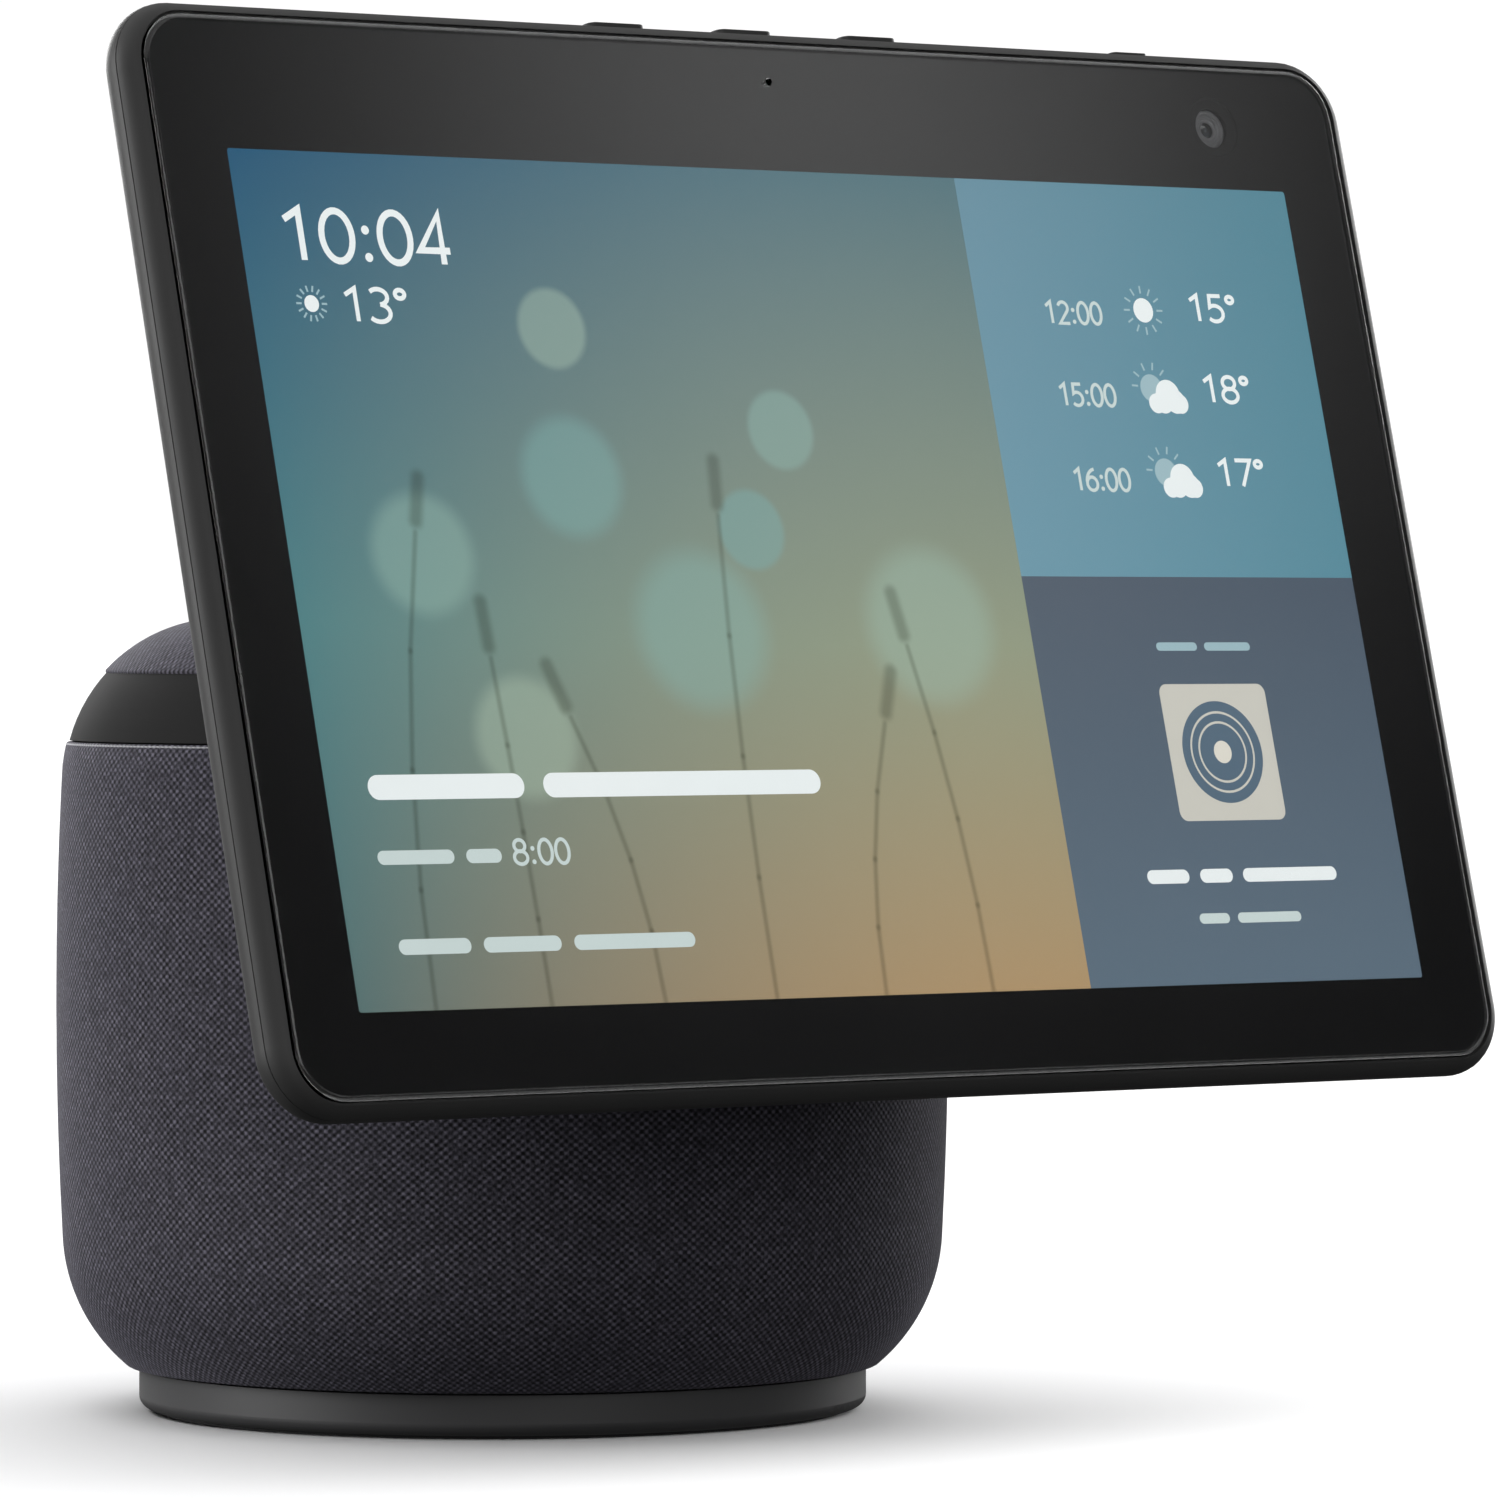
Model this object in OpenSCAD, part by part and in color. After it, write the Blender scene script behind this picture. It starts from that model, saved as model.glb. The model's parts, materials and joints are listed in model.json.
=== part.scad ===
// Smart display: a ten-inch touch screen on a tilting hinge, carried by a fabric-covered
// speaker body that a motor turns on a fixed foot. The origin is the centre of the foot's
// underside, on the turning axis; +Z is up and the screen faces -Y.

/* [Foot] */
// Radius of the foot
foot_r = 60.8; // [59.5:0.1:61.5]
// Height of the foot's top edge above the table
foot_h = 7.3; // [7.2:0.1:7.4]

/* [Speaker body] */
// Largest radius of the body
body_r = 74.55; // [73.5:0.05:76]
// Height of the largest radius
belly_z = 68; // [60:1:76]
// Radius of the body side's slight bulge
barrel_r = 740; // [600:10:1000]
// Radius of the lower corner
low_corner_r = 29.5; // [27:0.5:31]
// Height of the lower corner's centre
low_corner_z = 30.5; // [29.5:0.5:32]
// Radius of the shoulder
shoulder_r = 27.3; // [26:0.1:28.5]
// Height of the shoulder's centre
shoulder_z = 105; // [104:0.5:106]
// Direction, seen from the shoulder's centre, in which its arc hands over to the crown's
crown_angle = 75; // [72:1:78]
// Thickness of the knitted fabric
fabric_t = 0.95; // [0.7:0.05:1]
// Height at which the lower fabric starts
fabric_low_z = 7.9; // [7.8:0.1:8.1]
// Bottom of the plain collar band
collar_low_z = 111.9; // [111.7:0.1:112.2]
// Top of the plain collar band
collar_top_z = 123.1; // [122.8:0.1:123.4]
// Open line at each edge of the collar band
collar_gap = 0.6; // [0.4:0.1:0.8]

/* [Screen] */
// Width of the lit area
lit_w = 217; // [215:0.5:218]
// Height of the lit area
lit_h = 135.6; // [134:0.1:136]
// Width of the cover glass
glass_w = 243.6; // [243:0.1:244]
// Height of the cover glass
glass_h = 170.6; // [170:0.1:171]
// Corner radius of the cover glass
glass_corner = 8.5; // [8:0.1:9]
// Width of the display case
case_w = 250.4; // [250:0.1:251]
// Height of the display case
case_h = 175.6; // [175.2:0.1:176]
// Corner radius of the display case
case_corner = 11.3; // [11:0.1:12]
// Radius of the case's rounded edge
edge_r = 4.3; // [4.1:0.1:4.4]
// Thickness of the case at its middle
case_t = 12.2; // [12:0.1:12.4]
// How far the middle of the case lies above the middle of the lit area
border_up = 3.9; // [3.7:0.1:4.1]
// Lean of the screen from upright, in degrees
tilt = 14.7; // [14:0.1:15]

/* [Hinge] */
// Distance of the hinge pin in front of the turning axis
hinge_y = 79.5; // [79:0.1:80]
// Height of the hinge pin
hinge_z = 116.5; // [116:0.1:117]
// Radius of the hinge pin
pin_r = 2.5; // [2.3:0.1:2.6]
// Radius of the hinge knuckles
knuckle_r = 5; // [4.8:0.1:5.1]
// Width of the arm
arm_w = 26; // [24:1:26]

/* [Drive] */
// Tooth size of the turning gears
gear_module = 0.9; // [0.9]
// Teeth on the fixed ring gear
ring_teeth = 72; // [72]
// Teeth on the motor's pinion
pinion_teeth = 12; // [12]
// Radius of the bearing's ball circle
ball_circle_r = 48.5; // [48.3:0.1:48.7]
// Number of bearing balls
ball_count = 24; // [18:1:28]

/* [Speakers] */
// Height of the woofer's centre
woofer_z = 65; // [64:0.5:66]
// Radius of the woofer's flange
woofer_r = 38.5; // [37:0.5:39]
// Direction of each tweeter, in degrees from straight ahead
tweeter_angle = 42; // [41:1:44]

/* [Hidden] */
$fn = 96;
big = 400;                 // larger than any cut that it makes
cut = 1;                   // how far a cut runs past the face that it opens

// Heights in the foot and the turning gear
pad_t = 1.2;               // rubber pad under the foot
pad_r = foot_r - 3.4;
shell_low_z = 0.6;         // underside of the foot shell, outside the pad
shell_floor_z = 2.9;       // top of the foot shell's floor
plate_top_z = 7.2;         // top of the steel base plate
race_h = 3.1;              // height of each bearing race
ball_r = 2;
ball_play = 0.06;          // clearance between a ball and its groove
floor_z = 14.4;            // underside of the chassis floor
ball_z = (plate_top_z + floor_z) / 2;
cage_half = 0.4;           // half the thickness of the ball cage
floor_t = 2.5;
hat_z = 19;                // underside of the floor's raised middle
hat_r = 31;                // inner radius of the raised middle
spindle_r = 5.5;
jack_y = 22;               // distance of the power jack behind the axis
channel_w = 6.6;           // width of the plug channel in the foot
channel_z = 5.8;           // ceiling of the plug channel
stop_circle_r = 54.7;      // radius on which the stop pin and the stop lug meet
stop_pin_r = 1.2;
turn_limit = 175;
// Half angle of the stop lug, so that it meets the stop pin just past the turn's limit
stop_lug_half = 180 - turn_limit - asin(stop_pin_r / stop_circle_r) - 0.3;
motor_z = hat_z + floor_t + 0.1;       // underside of the motor

// Centres of the body outline's arcs, each tangent to the next
barrel_c = [body_r - barrel_r, belly_z];
low_angle = asin((low_corner_z - belly_z) / (barrel_r - low_corner_r));
shoulder_angle = asin((shoulder_z - belly_z) / (barrel_r - shoulder_r));
low_c = barrel_c + (barrel_r - low_corner_r) * [cos(low_angle), sin(low_angle)];
shoulder_c = barrel_c + (barrel_r - shoulder_r) * [cos(shoulder_angle), sin(shoulder_angle)];
crown_r = shoulder_r + shoulder_c[0] / cos(crown_angle);
crown_c = [0, shoulder_c[1] - (crown_r - shoulder_r) * sin(crown_angle)];

// Depths behind the fabric's outer face
cage_in = fabric_t + 0.15;
cage_t = 2;
box_in = 4;
box_t = 2.4;
box_low_z = 24;
box_top_z = 106;
baffle_y = 55;             // front face of the flat baffle
box_back_y = 24.4;         // rear face of the speaker box
deck_z = 108;              // underside of the top frame's deck
deck_t = 2.5;
arm_low_z = deck_z + deck_t + 0.05;    // underside of the arm's foot, on the deck
tweeter_z = 94.5;
tweeter_front = 62;        // distance of each tweeter's mounting face from the turning axis
tweeter_r = 12.6;
board_y = 50;              // front face of the power board
board_post_x = [-33, 33];
board_post_z = [44, 94];

// Screen: x to the right, y up the glass, z out of the glass, from the middle of the lit area
screen_at = [0, -92.25, 138.54];
up = [0, sin(tilt), cos(tilt)];
out = [0, -cos(tilt), sin(tilt)];
pin_at = [0, -hinge_y, hinge_z];
pin_up = (pin_at - screen_at) * up;        // the hinge pin's height up the glass
pin_deep = -(pin_at - screen_at) * out;    // its depth behind the glass
glass_t = 1.1;
seam_z = -3;               // parting line between front frame and rear cover
wall_t = 2.2;
dome_layers = 7;           // steps in the domed back
dome_reach = 62;           // how far the dome's slope runs in from the edge
dome_start = 2 * edge_r - 0.55;
plate_z = -6;              // rear face of the mid plate
case_top = border_up + case_h / 2;
button_z = -5.2;           // depth of the middle of the buttons
button_x = [-26, 0, 26];
button_w = 11.5;
button_h = 3.2;
button_out = 0.7;
knob_x = 82.5;
knob_w = 7.9;
knob_h = 2;
shutter_travel = 8;
camera_at = [95, 78.6];
mic_y = 82.5;
screw_x = [-108, -52, 52, 108];
screw_y = [-75.8, 78.2];
ear_x = arm_w / 2 + 0.3;   // inner face of each hinge ear
ear_t = 4;

// ---------------------------------------------------------------- shared shapes

// Points along an arc, after its first one
function arc(centre, r, from, to, steps) = [for (i = [1 : steps])
    let (a = from + (to - from) * i / steps) centre + r * [cos(a), sin(a)]];

// The body's half outline from below the axis to its crown, drawn in from its outer face by inset
function outline(inset) = concat(
    [[0, low_c[1] - low_corner_r + inset], [low_c[0], low_c[1] - low_corner_r + inset]],
    arc(low_c, low_corner_r - inset, -90, low_angle, 22),
    arc(barrel_c, barrel_r - inset, low_angle, shoulder_angle, 8),
    arc(shoulder_c, shoulder_r - inset, shoulder_angle, crown_angle, 18),
    arc(crown_c, crown_r - inset, crown_angle, 90, 6));

// The body's outline turned into a solid, between two heights
module body_solid(inset, low, high) rotate_extrude() intersection() {
    polygon(outline(inset));
    translate([0, low]) square([body_r + cut, high - low]);
}

// Shell that follows the body's outline
module body_shell(inset, thickness, low, high) rotate_extrude() intersection() {
    difference() {
        polygon(outline(inset));
        polygon(outline(inset + thickness));
    }
    translate([0, low]) square([body_r + cut, high - low]);
}

// Flat ring between two radii and two heights
module ring(inner, outer, low, high) rotate_extrude()
    translate([inner, low]) square([outer - inner, high - low]);

module on_circle(r, count, from = 0) for (i = [0 : count - 1])
    rotate(from + 360 * i / count) translate([r, 0, 0]) children();

module rounded(w, h, r) {
    square([w - 2 * r, h], center = true);
    square([w, h - 2 * r], center = true);
    for (x = [-1, 1], y = [-1, 1]) translate([x * (w / 2 - r), y * (h / 2 - r)]) circle(r);
}

// Rounded plate from depth z0 to depth z1
module plate(w, h, r, z0, z1) translate([0, 0, z0]) linear_extrude(z1 - z0) rounded(w, h, r);

// Rounded plate with a full round edge, centred on z = 0
module bullnose(w, h, r, e) {
    cube([w - 2 * e, h - 2 * r, 2 * e], center = true);
    cube([w - 2 * r, h - 2 * e, 2 * e], center = true);
    for (x = [-1, 1], y = [-1, 1]) translate([x * (w / 2 - r), y * (h / 2 - r), 0])
        rotate_extrude() {
            translate([0, -e]) square([r - e, 2 * e]);
            intersection() {
                translate([r - e, 0]) circle(e);
                translate([0, -e]) square([r, 2 * e]);
            }
        }
    for (x = [-1, 1]) translate([x * (w / 2 - e), 0, 0])
        rotate([90, 0, 0]) cylinder(r = e, h = h - 2 * r, center = true);
    for (y = [-1, 1]) translate([0, y * (h / 2 - e), 0])
        rotate([0, 90, 0]) cylinder(r = e, h = w - 2 * r, center = true);
}

// Everything behind or in front of a depth in the screen's own axes
module slab(z0, z1) translate([-big / 2, -big / 2, z0]) cube([big, big, z1 - z0]);

module in_screen() translate(screen_at) rotate([90 - tilt, 0, 0]) children();

// Places a shape on the hinge pin's line, in the screen's axes, along x from x0 for a length
module on_pin(x0, length) translate([x0, pin_up, -pin_deep]) rotate([0, 90, 0])
    linear_extrude(length) children();

// Screw with a flat head, its head's top at z = 0 and its shank down
module screw(head_r, head_h, shank_r, length) {
    difference() {
        translate([0, 0, -head_h]) cylinder(r = head_r, h = head_h, $fn = 32);
        translate([0, 0, -head_h * 0.6]) cylinder(r = head_r * 0.45, h = head_h, $fn = 6);
    }
    translate([0, 0, -length]) cylinder(r = shank_r, h = length - head_h, $fn = 24);
}

// Involute gear with relieved teeth, its first tooth on the +x axis
pressure_angle = 25;
function involute(base, angle) = [base * (cos(angle) + angle * PI / 180 * sin(angle)),
    base * (sin(angle) - angle * PI / 180 * cos(angle))];
function turned(p, a) = [p[0] * cos(a) - p[1] * sin(a), p[0] * sin(a) + p[1] * cos(a)];
// Roll angle at which an involute reaches radius r
function roll_at(base, r) = r <= base ? 0 : sqrt(pow(r / base, 2) - 1) * 180 / PI;
module gear_outline(teeth, backlash) {
    pitch = gear_module * teeth / 2;
    base = pitch * cos(pressure_angle);
    tip = pitch + 0.75 * gear_module;
    root = pitch - 1.05 * gear_module;
    lean = tan(pressure_angle) * 180 / PI - pressure_angle;
    half = 90 / teeth - backlash / pitch * 180 / PI / 2 + lean;
    steps = 4;
    start = roll_at(base, max(root, base));
    flank = [for (i = [0 : steps])
        turned(involute(base, start + (roll_at(base, tip) - start) * i / steps), -half)];
    foot = root < base ? [turned([root, 0], -half)] : [];
    side = concat(foot, flank);
    tooth = concat(side, [for (i = [len(side) - 1 : -1 : 0]) [side[i][0], -side[i][1]]]);
    polygon([for (t = [0 : teeth - 1]) for (p = tooth) turned(p, 360 * t / teeth)]);
}
ring_pitch_r = gear_module * ring_teeth / 2;
pinion_y = gear_module * (ring_teeth + pinion_teeth) / 2;

// ---------------------------------------------------------------- fixed foot

// Room for the plug and its cord under the foot, open below and at the back
module plug_room(grow) {
    translate([-5.6 - grow, jack_y - 6.5 - grow, -cut])
        cube([11.2 + 2 * grow, 14 + 2 * grow, channel_z + cut + grow]);
    translate([-channel_w / 2 - grow, jack_y, -cut])
        cube([channel_w + 2 * grow, foot_r, channel_z + cut + grow]);
}

module foot_pad() color([0.10, 0.10, 0.10]) difference() {
    cylinder(r = pad_r, h = pad_t);
    plug_room(0.8);
}

module foot_shell() color([0.17, 0.17, 0.17]) difference() {
    union() {
        difference() {
            rotate_extrude() difference() {
                union() {
                    translate([0, shell_low_z]) square([foot_r - 2, foot_h - shell_low_z]);
                    translate([0, shell_low_z + 2]) square([foot_r, foot_h - shell_low_z - 2]);
                    translate([foot_r - 2, shell_low_z + 2]) circle(2);
                }
                translate([-cut, shell_floor_z]) square([foot_r - 2.5 + cut, big]);
            }
            cylinder(r = pad_r, h = 2 * pad_t, center = true);
        }
        intersection() {
            plug_room(1.3);
            translate([0, 0, pad_t]) cylinder(r = foot_r - 1, h = plate_top_z - pad_t);
        }
    }
    plug_room(0);
    translate([0, jack_y, 0]) cylinder(r = 4.2, h = big);
    on_circle(40, 4, 45) {
        translate([0, 0, pad_t - cut]) cylinder(r = 3, h = cut + 0.9);
        cylinder(r = 1.7, h = big);
    }
}

module base_plate() color([0.55, 0.56, 0.58]) difference() {
    translate([0, 0, shell_floor_z]) cylinder(r = foot_r - 3, h = plate_top_z - shell_floor_z);
    plug_room(1.5);
    translate([-8, jack_y - 8.5, 0]) cube([16, 17.5, big]);
    on_circle(40, 4, 45) cylinder(r = 1.5, h = big);
    translate([0, -stop_circle_r, 0]) cylinder(r = stop_pin_r, h = big);
}

module foot_screws() color([0.7, 0.7, 0.72]) on_circle(40, 4, 45)
    translate([0, 0, pad_t + 0.05]) rotate([180, 0, 0]) screw(2.8, 0.8, 1.5, 5.6);

module stop_pin() color([0.7, 0.7, 0.72]) translate([0, -stop_circle_r, shell_floor_z + 0.3])
    cylinder(r = stop_pin_r, h = 9.4, $fn = 32);

module ring_gear() color([0.85, 0.83, 0.75]) translate([0, 0, plate_top_z]) difference() {
    union() {
        cylinder(r = ring_pitch_r - 1.3, h = 6);
        translate([0, 0, 0.8]) linear_extrude(5.2) gear_outline(ring_teeth, 0.10);
    }
    translate([0, 0, -cut]) cylinder(r = 28.6, h = big);
}

module race(low) difference() {
    ring(ball_circle_r - 3, ball_circle_r + 3, low, low + race_h);
    rotate_extrude() translate([ball_circle_r, ball_z]) circle(ball_r + ball_play);
}

module lower_race() color([0.72, 0.73, 0.75]) race(plate_top_z);

module power_jack() color([0.12, 0.12, 0.13]) translate([0, jack_y, 0]) difference() {
    union() {
        translate([-4.5, -4.5, plate_top_z]) cube([9, 9, 10]);
        translate([0, 0, channel_z + 0.1]) cylinder(r = 3.9, h = 2);
    }
    difference() {
        cylinder(r = 2.8, h = 15.8);
        translate([0, 0, 8.3]) cylinder(r = 1, h = big, $fn = 48);
    }
}

module cable_cassette() color([0.8, 0.8, 0.78]) rotate_extrude() difference() {
    translate([6.2, plate_top_z]) square([10.3, 10.2]);
    translate([5, plate_top_z + 0.9]) square([10.6, 8.4]);
}

// Flat cable wound in a spiral, its inner end near the spindle
cable_turns = 4.5;
cable_steps = 108;
function spiral(i, side) = (6.7 + 8 * i / cable_steps + side)
    * [cos(360 * cable_turns * i / cable_steps), sin(360 * cable_turns * i / cable_steps)];
module coiled_cable() color([0.85, 0.55, 0.2]) translate([0, 0, plate_top_z + 1.2]) linear_extrude(7.6)
    polygon(concat([for (i = [0 : cable_steps]) spiral(i, 0)],
        [for (i = [cable_steps : -1 : 0]) spiral(i, 0.3)]));

// ---------------------------------------------------------------- bearing and drive

module ball_cage() color([0.75, 0.62, 0.3]) difference() {
    ring(ball_circle_r - 2.8, ball_circle_r + 2.8, ball_z - cage_half, ball_z + cage_half);
    on_circle(ball_circle_r, ball_count) cylinder(r = ball_r + 0.12, h = big, center = true);
}

module bearing_balls() color([0.8, 0.81, 0.83]) on_circle(ball_circle_r, ball_count)
    translate([0, 0, ball_z]) sphere(r = ball_r, $fn = 32);

module upper_race() color([0.72, 0.73, 0.75]) race(floor_z - race_h);

module drive_pinion() color([0.8, 0.7, 0.4]) translate([0, pinion_y, 0]) {
    translate([0, 0, plate_top_z + 0.8]) linear_extrude(5.2)
        rotate(-90 + 180 / pinion_teeth) gear_outline(pinion_teeth, 0.10);
    translate([0, 0, plate_top_z + 6]) cylinder(r = 1.5, h = motor_z - plate_top_z, $fn = 48);
}

module drive_motor() color([0.5, 0.51, 0.53]) translate([0, pinion_y, motor_z]) difference() {
    union() {
        cylinder(r = 11, h = 16);
        translate([0, 0, 16]) cylinder(r = 7, h = 2);
    }
    translate([0, 0, -cut]) cylinder(r = 1.56, h = 9, $fn = 48);
}

// ---------------------------------------------------------------- turning body

// Places shapes on the four posts that hold the speaker box to the chassis
module at_box_posts() for (a = [35, 145, 215, 325]) rotate(a) translate([46, 0, 0]) children();

module lower_chassis() color([0.16, 0.16, 0.17]) difference() {
    union() {
        rotate_extrude() {
            translate([hat_r, floor_z]) square([26.5, floor_t]);
            translate([hat_r, floor_z]) square([floor_t, hat_z + floor_t - floor_z]);
            translate([spindle_r - 1.5, hat_z]) square([hat_r + floor_t - spindle_r + 1.5, floor_t]);
            translate([spindle_r - 1.5, 8.3]) square([1.5, hat_z - 8]);
            translate([56.3, 8.1]) square([1.5, floor_z + floor_t - 8.1]);
            intersection() {
                difference() {
                    polygon(outline(cage_in + cage_t + 0.1));
                    polygon(outline(cage_in + cage_t + 2.1));
                }
                translate([56.5, 8.1]) square([20, 14]);
            }
        }
        at_box_posts() translate([0, 0, floor_z]) cylinder(r = 4, h = box_low_z - floor_z - 0.05);
        translate([0, pinion_y, floor_z]) cylinder(r = 10, h = motor_z - floor_z - 0.05);
        rotate(90) rotate_extrude(angle = 0.001 + 2 * stop_lug_half, start = -stop_lug_half)
            translate([stop_circle_r - 1.6, 10]) square([3.2, floor_z - 10 + 0.5]);
    }
    translate([0, pinion_y, 0]) cylinder(r = 4.6, h = big);
    at_box_posts() cylinder(r = 1.7, h = big);
    at_box_posts() cylinder(r = 3.2, h = floor_z + 1.4);
}

module grille_cage() color([0.13, 0.13, 0.14]) difference() {
    body_shell(cage_in, cage_t, 8.1, 110.9);
    for (row = [0 : 5], column = [-6 : 6]) rotate(column * 11 - 90)
        translate([50, -3.6, 31 + row * 12]) cube([30, 7.2, 8]);
}

module fabric_sleeve() color([0.18, 0.17, 0.2])
    body_shell(0, fabric_t, fabric_low_z, collar_low_z - collar_gap);

// Flat front of the speaker box, cut to the body's outline
module baffle() intersection() {
    body_solid(box_in, box_low_z, box_top_z);
    translate([-big / 2, -baffle_y, 0]) cube([big, 3, big]);
}

module on_tweeter(side) rotate(side * tweeter_angle) translate([0, 0, tweeter_z])
    rotate([90, 0, 0]) children();

// Places shapes on the four posts that hold the power board, pointing back from a depth y
module at_board_posts(y) for (x = board_post_x, z = board_post_z)
    translate([x, y, z]) rotate([-90, 0, 0]) children();

module on_woofer() translate([0, -baffle_y, woofer_z]) rotate([90, 0, 0]) children();

module speaker_box() color([0.2, 0.2, 0.21]) difference() {
    union() {
        difference() {
            intersection() {
                body_solid(box_in, box_low_z, box_top_z);
                translate([-big / 2, -baffle_y, 0]) cube([big, baffle_y + box_back_y, big]);
            }
            intersection() {
                body_solid(box_in + box_t, box_low_z + box_t, box_top_z - box_t);
                translate([-big / 2, -baffle_y + 3, 0]) cube([big, baffle_y - 3 + box_back_y - box_t, big]);
            }
        }
        intersection() {
            union() for (side = [-1, 1]) on_tweeter(side)
                translate([0, 0, tweeter_front - 3]) cylinder(r = 13.5, h = 3);
            body_solid(box_in + 1, box_low_z, box_top_z - 1);
        }
        at_board_posts(box_back_y - 0.5) cylinder(r = 3.2, h = board_y - box_back_y + 0.45);
    }
    on_woofer() translate([0, 0, -10]) cylinder(r = 35, h = 20);
    for (side = [-1, 1]) on_tweeter(side) {
        translate([0, 0, tweeter_front]) cylinder(r = 13.6, h = 20);
        cylinder(r = 9.4, h = 100);
    }
    at_box_posts() translate([0, 0, box_low_z - cut]) cylinder(r = 1.3, h = cut + 2, $fn = 32);
    at_board_posts(board_y - 8) cylinder(r = 1.3, h = 20, $fn = 32);
}

module box_screws() color([0.7, 0.7, 0.72]) at_box_posts() translate([0, 0, floor_z + 1.3])
    rotate([180, 0, 0]) translate([0, 0, 1.3]) screw(2.8, 1.2, 1.3, box_low_z + 1.8 - floor_z);

module woofer_basket() color([0.25, 0.25, 0.27]) on_woofer() difference() {
    rotate_extrude() polygon([[34.2, 0.05], [woofer_r, 0.05], [woofer_r, 2.4], [33, 2.4],
        [32.6, -2], [19.4, -21.6], [12, -21.6], [12, -24], [21, -24], [34.2, -3.4]]);
    for (a = [0 : 60 : 300]) rotate(a) translate([20, -7, -19]) cube([20, 14, 14.5]);
    on_circle(36.4, 4, 45) cylinder(r = 1.2, h = 20, center = true, $fn = 32);
}

module woofer_magnet() color([0.2, 0.2, 0.21]) on_woofer() {
    translate([0, 0, -36]) ring(11.4, 24, 0, 11.95);
    translate([0, 0, -39]) cylinder(r = 22, h = 3);
    translate([0, 0, -36]) cylinder(r = 9.4, h = 12);
}

module voice_coil() color([0.75, 0.42, 0.2]) on_woofer() ring(9.8, 10.8, -32, -12.2);

module woofer_cone() color([0.09, 0.09, 0.1]) on_woofer() rotate_extrude() {
    polygon([[9.8, -12.1], [11.4, -12.1], [27.4, 0.6], [27.4, 1.4], [26.6, 1.4]]);
    intersection() {
        difference() {
            translate([0, -18]) circle(13);
            translate([0, -18]) circle(12.4);
        }
        translate([0, -9.6]) square([12, 10]);
    }
}

module woofer_surround() color([0.07, 0.07, 0.07]) on_woofer() rotate_extrude() {
    intersection() {
        difference() {
            translate([30.1, 1.5]) circle(2.6);
            translate([30.1, 1.5]) circle(2);
        }
        translate([20, 1.5]) square([20, 10]);
    }
    translate([26.4, 1.45]) square([1.3, 0.6]);
    translate([32.1, 1.5]) square([0.8, 0.6]);
}

module tweeter(side) color([0.3, 0.3, 0.32]) on_tweeter(side) translate([0, 0, tweeter_front]) {
    difference() {
        translate([0, 0, 0.05]) cylinder(r = tweeter_r, h = 1.8);
        cylinder(r = 8.4, h = big, center = true);
    }
    intersection() {
        difference() {
            translate([0, 0, -8.5]) sphere(r = 11.6);
            translate([0, 0, -8.5]) sphere(r = 11.2);
        }
        cylinder(r = 8.4, h = 4);
    }
    translate([0, 0, -9.4]) difference() {
        cylinder(r = 9.2, h = 9.45);
        translate([0, 0, 4]) cylinder(r = 7.4, h = big);
    }
}

module left_tweeter() tweeter(-1);
module right_tweeter() tweeter(1);

module power_board() color([0.1, 0.35, 0.2]) difference() {
    translate([-38, board_y, 39]) cube([76, 1.6, 60]);
    at_board_posts(board_y - cut) cylinder(r = 1.7, h = 4, $fn = 32);
}

module board_parts() {
    color([0.15, 0.15, 0.2]) for (x = [-22, -9, 4]) translate([x, board_y - 0.05, 88])
        rotate([90, 0, 0]) cylinder(r = 5, h = 14, $fn = 32);
    color([0.3, 0.3, 0.32]) for (x = [-20, 8])
        translate([x, board_y - 9.05, 66]) cube([13, 9, 13]);
    color([0.08, 0.08, 0.08]) for (x = [-30 : 16 : 18])
        translate([x, board_y - 1.65, 50]) cube([10, 1.6, 10]);
    color([0.9, 0.9, 0.85]) translate([18, board_y - 6.05, 86]) cube([9, 6, 5]);
}

module heat_sink() color([0.6, 0.61, 0.63]) {
    translate([-25, board_y + 1.65, 46]) cube([50, 2, 46]);
    for (i = [0 : 8]) translate([-25 + i * 6, board_y + 3, 46]) cube([2, 9, 46]);
}

module board_screws() color([0.7, 0.7, 0.72]) at_board_posts(board_y + 3) screw(2.6, 1.35, 1.25, 9);

module at_arm_screws() for (x = [-16.5, 16.5], y = [-52, -43]) translate([x, y, 0]) children();

module top_frame() color([0.2, 0.2, 0.21]) difference() {
    rotate_extrude() {
        translate([0, deck_z]) square([69, deck_t]);
        translate([60.6, deck_z]) square([2, 11.5]);
    }
    translate([-arm_w / 2 - 1, -80, deck_z + deck_t]) cube([arm_w + 2, 40, 20]);
    translate([0, 0, deck_z - cut]) cylinder(r = 9, h = 10);
    at_arm_screws() translate([0, 0, deck_z - cut]) cylinder(r = 1.5, h = 10, $fn = 32);
}

module collar_band() color([0.24, 0.24, 0.24]) difference() {
    body_shell(0.4, 2.3, collar_low_z, collar_top_z);
    translate([-arm_w / 2 - 0.6, -big, hinge_z - 4.4]) cube([arm_w + 1.2, big, 8.8]);
}

module top_cap() color([0.14, 0.14, 0.15]) {
    body_shell(cage_in, cage_t, collar_top_z + collar_gap, big);
    ring(58, 60.2, 119.4, collar_top_z + 3);
}

module top_fabric() color([0.22, 0.21, 0.24]) body_shell(0, fabric_t, collar_top_z + collar_gap, big);

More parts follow.
